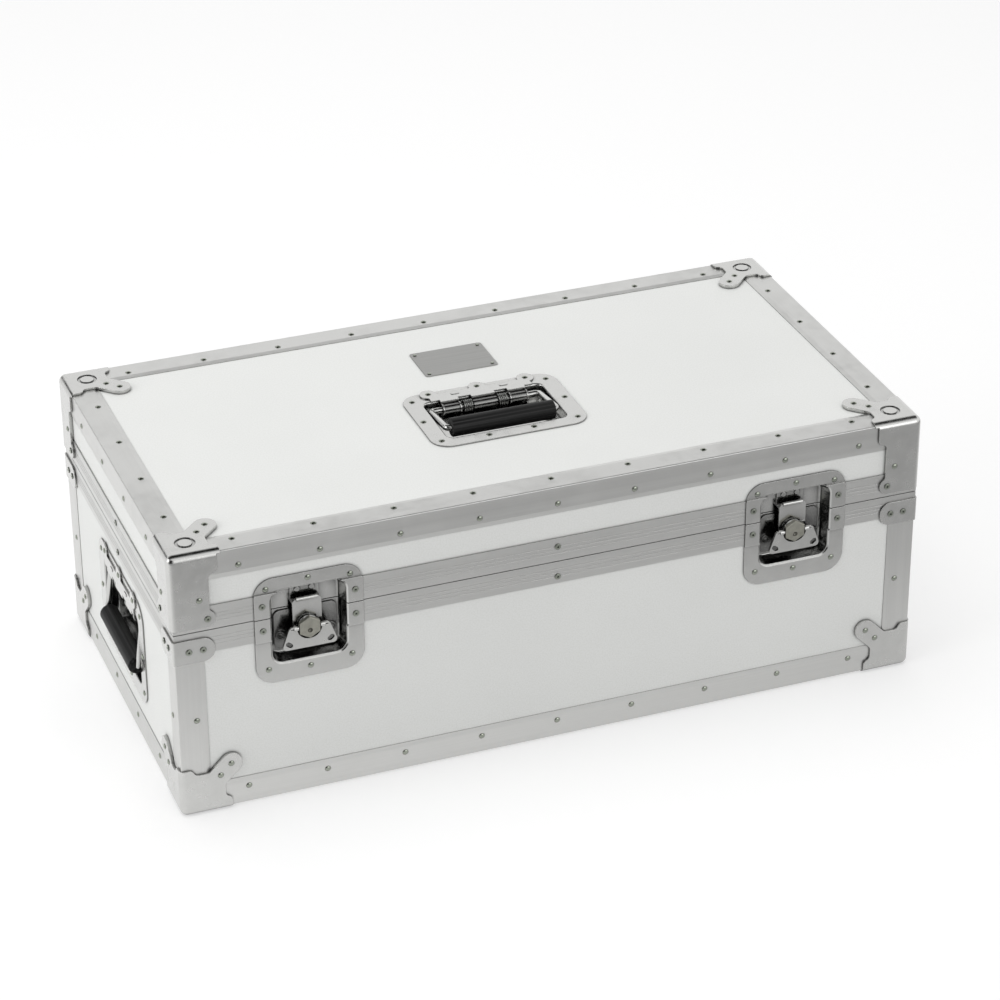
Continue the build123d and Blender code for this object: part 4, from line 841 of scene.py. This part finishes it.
class LENS_CASE_OT_steel(bpy.types.Operator):
    """Finish the caps, dishes, plates, hooks, wings and bails in plated steel"""

    bl_idname = "lens_case.steel"
    bl_label = "Plated steel"

    def execute(self, context):
        plating = context.scene.lens_case_colours.plating
        # Each finish darkens its colour with painted shade near corners, walls and seams: within 4 mm for the
        # pressings and hinge plates, 15 mm for the recesses, 34 mm for the mechanism plates and 12 mm for the
        # bails
        pressed = plated_steel("zinc_plated_pressing", plating, smooth=0.18, worn=0.34)
        recessed = plated_steel(
            "zinc_plated_recess", plating, smooth=0.14, worn=0.30, reach_mm=15.0, deep=0.2
        )
        deepest = plated_steel(
            "zinc_plated_deep_recess", plating, smooth=0.14, worn=0.30, reach_mm=34.0, deep=0.08, start=0.55
        )
        rod = plated_steel("nickel_plated_rod", plating, smooth=0.06, worn=0.16, reach_mm=12.0)
        paint(with_ending("_dish", "_wing", "_hook", "_keeper"), recessed)
        # The top handle's dish lies open to the light, so it takes the pressing's lighter painted shade over
        # the recess's deeper one
        paint(with_ending("_caps", "_braces", "_leaves", "top_handle_dish"), pressed)
        paint(with_ending("_mechanism_plate"), deepest)
        paint(with_ending("_bail"), rod)
        top = hinge_steel("zinc_plated_top_hinge", plating, "top_handle_swing", "Y")
        side = hinge_steel("zinc_plated_side_hinges", plating, "left_handle_swing", "X")
        paint(["top_handle_hinge_plate"], top)
        paint(["side_handle_hinge_plates"], side)
        return {"FINISHED"}


class LENS_CASE_OT_fasteners(bpy.types.Operator):
    """Finish the rivets, screws, pins, springs and spindles"""

    bl_idname = "lens_case.fasteners"
    bl_label = "Fasteners"

    def execute(self, context):
        rivets = context.scene.lens_case_colours.rivets
        # The rivets' colour darkens with painted shade round their rims, within 3 mm
        bright = plated_steel(
            "bright_rivet", rivets, smooth=0.05, worn=0.12, reach_mm=3.0, deep=0.05, start=0.6
        )
        paint(with_ending("_rivets", "_screws"), bright)
        paint(with_ending("_springs", "_pins"), drawn_wire("dark_spring_wire", "#858684", "#B4B5B2"))
        paint(with_ending("_wing_spring"), drawn_wire("bright_spring_wire", "#C4C5C2", "#E6E6E4"))
        paint(with_ending("_spindle"), turned_steel())
        return {"FINISHED"}


class LENS_CASE_OT_name_plate(bpy.types.Operator):
    """Finish the blank name plate"""

    bl_idname = "lens_case.name_plate"
    bl_label = "Name plate"

    def execute(self, context):
        paint(["name_plate"], brushed_plate())
        return {"FINISHED"}


class LENS_CASE_OT_grips(bpy.types.Operator):
    """Finish the rubber grips"""

    bl_idname = "lens_case.grips"
    bl_label = "Grips"

    def execute(self, context):
        paint(["top_handle_grip"], moulded_rubber("black_rubber_across", "X"))
        paint(["left_handle_grip", "right_handle_grip"], moulded_rubber("black_rubber_lengthwise", "Y"))
        return {"FINISHED"}


class LENS_CASE_OT_foam(bpy.types.Operator):
    """Build the foam floor, walls, dividers and lid pad with soft cut edges"""

    bl_idname = "lens_case.foam"
    bl_label = "Foam"

    def execute(self, context):
        material = open_cell_foam()
        sizes = context.scene.lens_case_sizes
        for name in sorted(nodes):
            if name.startswith("foam"):
                soften_foam(name, material, sizes.foam_cell, sizes.foam_swell)
        return {"FINISHED"}


class LENS_CASE_OT_stage(bpy.types.Operator):
    """Set the photograph's camera, a white floor and soft studio light"""

    bl_idname = "lens_case.stage"
    bl_label = "Stage"

    def execute(self, context):
        add_camera(context.scene)
        add_floor()
        add_dark_cards()
        add_lights(context.scene)
        light_world(context.scene)
        context.scene.view_settings.view_transform = "Standard"
        return {"FINISHED"}


class LENS_CASE_PT_parts(bpy.types.Panel):
    """Shows the case's colours, sizes and steps in the 3D view's sidebar"""

    bl_idname = "LENS_CASE_PT_parts"
    bl_label = "Lens case"
    bl_space_type = "VIEW_3D"
    bl_region_type = "UI"
    bl_category = "Lens case"

    def draw(self, context):
        for group in (context.scene.lens_case_colours, context.scene.lens_case_sizes):
            for name in group.__annotations__:
                self.layout.prop(group, name)
        for operator in operators:
            self.layout.operator(operator.bl_idname)


operators = (
    LENS_CASE_OT_panels,
    LENS_CASE_OT_edging,
    LENS_CASE_OT_steel,
    LENS_CASE_OT_fasteners,
    LENS_CASE_OT_name_plate,
    LENS_CASE_OT_grips,
    LENS_CASE_OT_foam,
    LENS_CASE_OT_stage,
)
classes = (LensCaseColours, LensCaseSizes, *operators, LENS_CASE_PT_parts)


def register():
    """Registers the classes and hangs the settings on the scene."""
    for cls in classes:
        bpy.utils.register_class(cls)
    bpy.types.Scene.lens_case_colours = bpy.props.PointerProperty(type=LensCaseColours)
    bpy.types.Scene.lens_case_sizes = bpy.props.PointerProperty(type=LensCaseSizes)


def unregister():
    """Takes the settings and classes away again."""
    del bpy.types.Scene.lens_case_sizes
    del bpy.types.Scene.lens_case_colours
    for cls in reversed(classes):
        bpy.utils.unregister_class(cls)


def main():
    """Dresses the case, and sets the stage."""
    register()
    bpy.ops.lens_case.panels()
    bpy.ops.lens_case.edging()
    bpy.ops.lens_case.steel()
    bpy.ops.lens_case.fasteners()
    bpy.ops.lens_case.name_plate()
    bpy.ops.lens_case.grips()
    bpy.ops.lens_case.foam()
    bpy.ops.lens_case.stage()


if __name__ == "__main__":
    main()
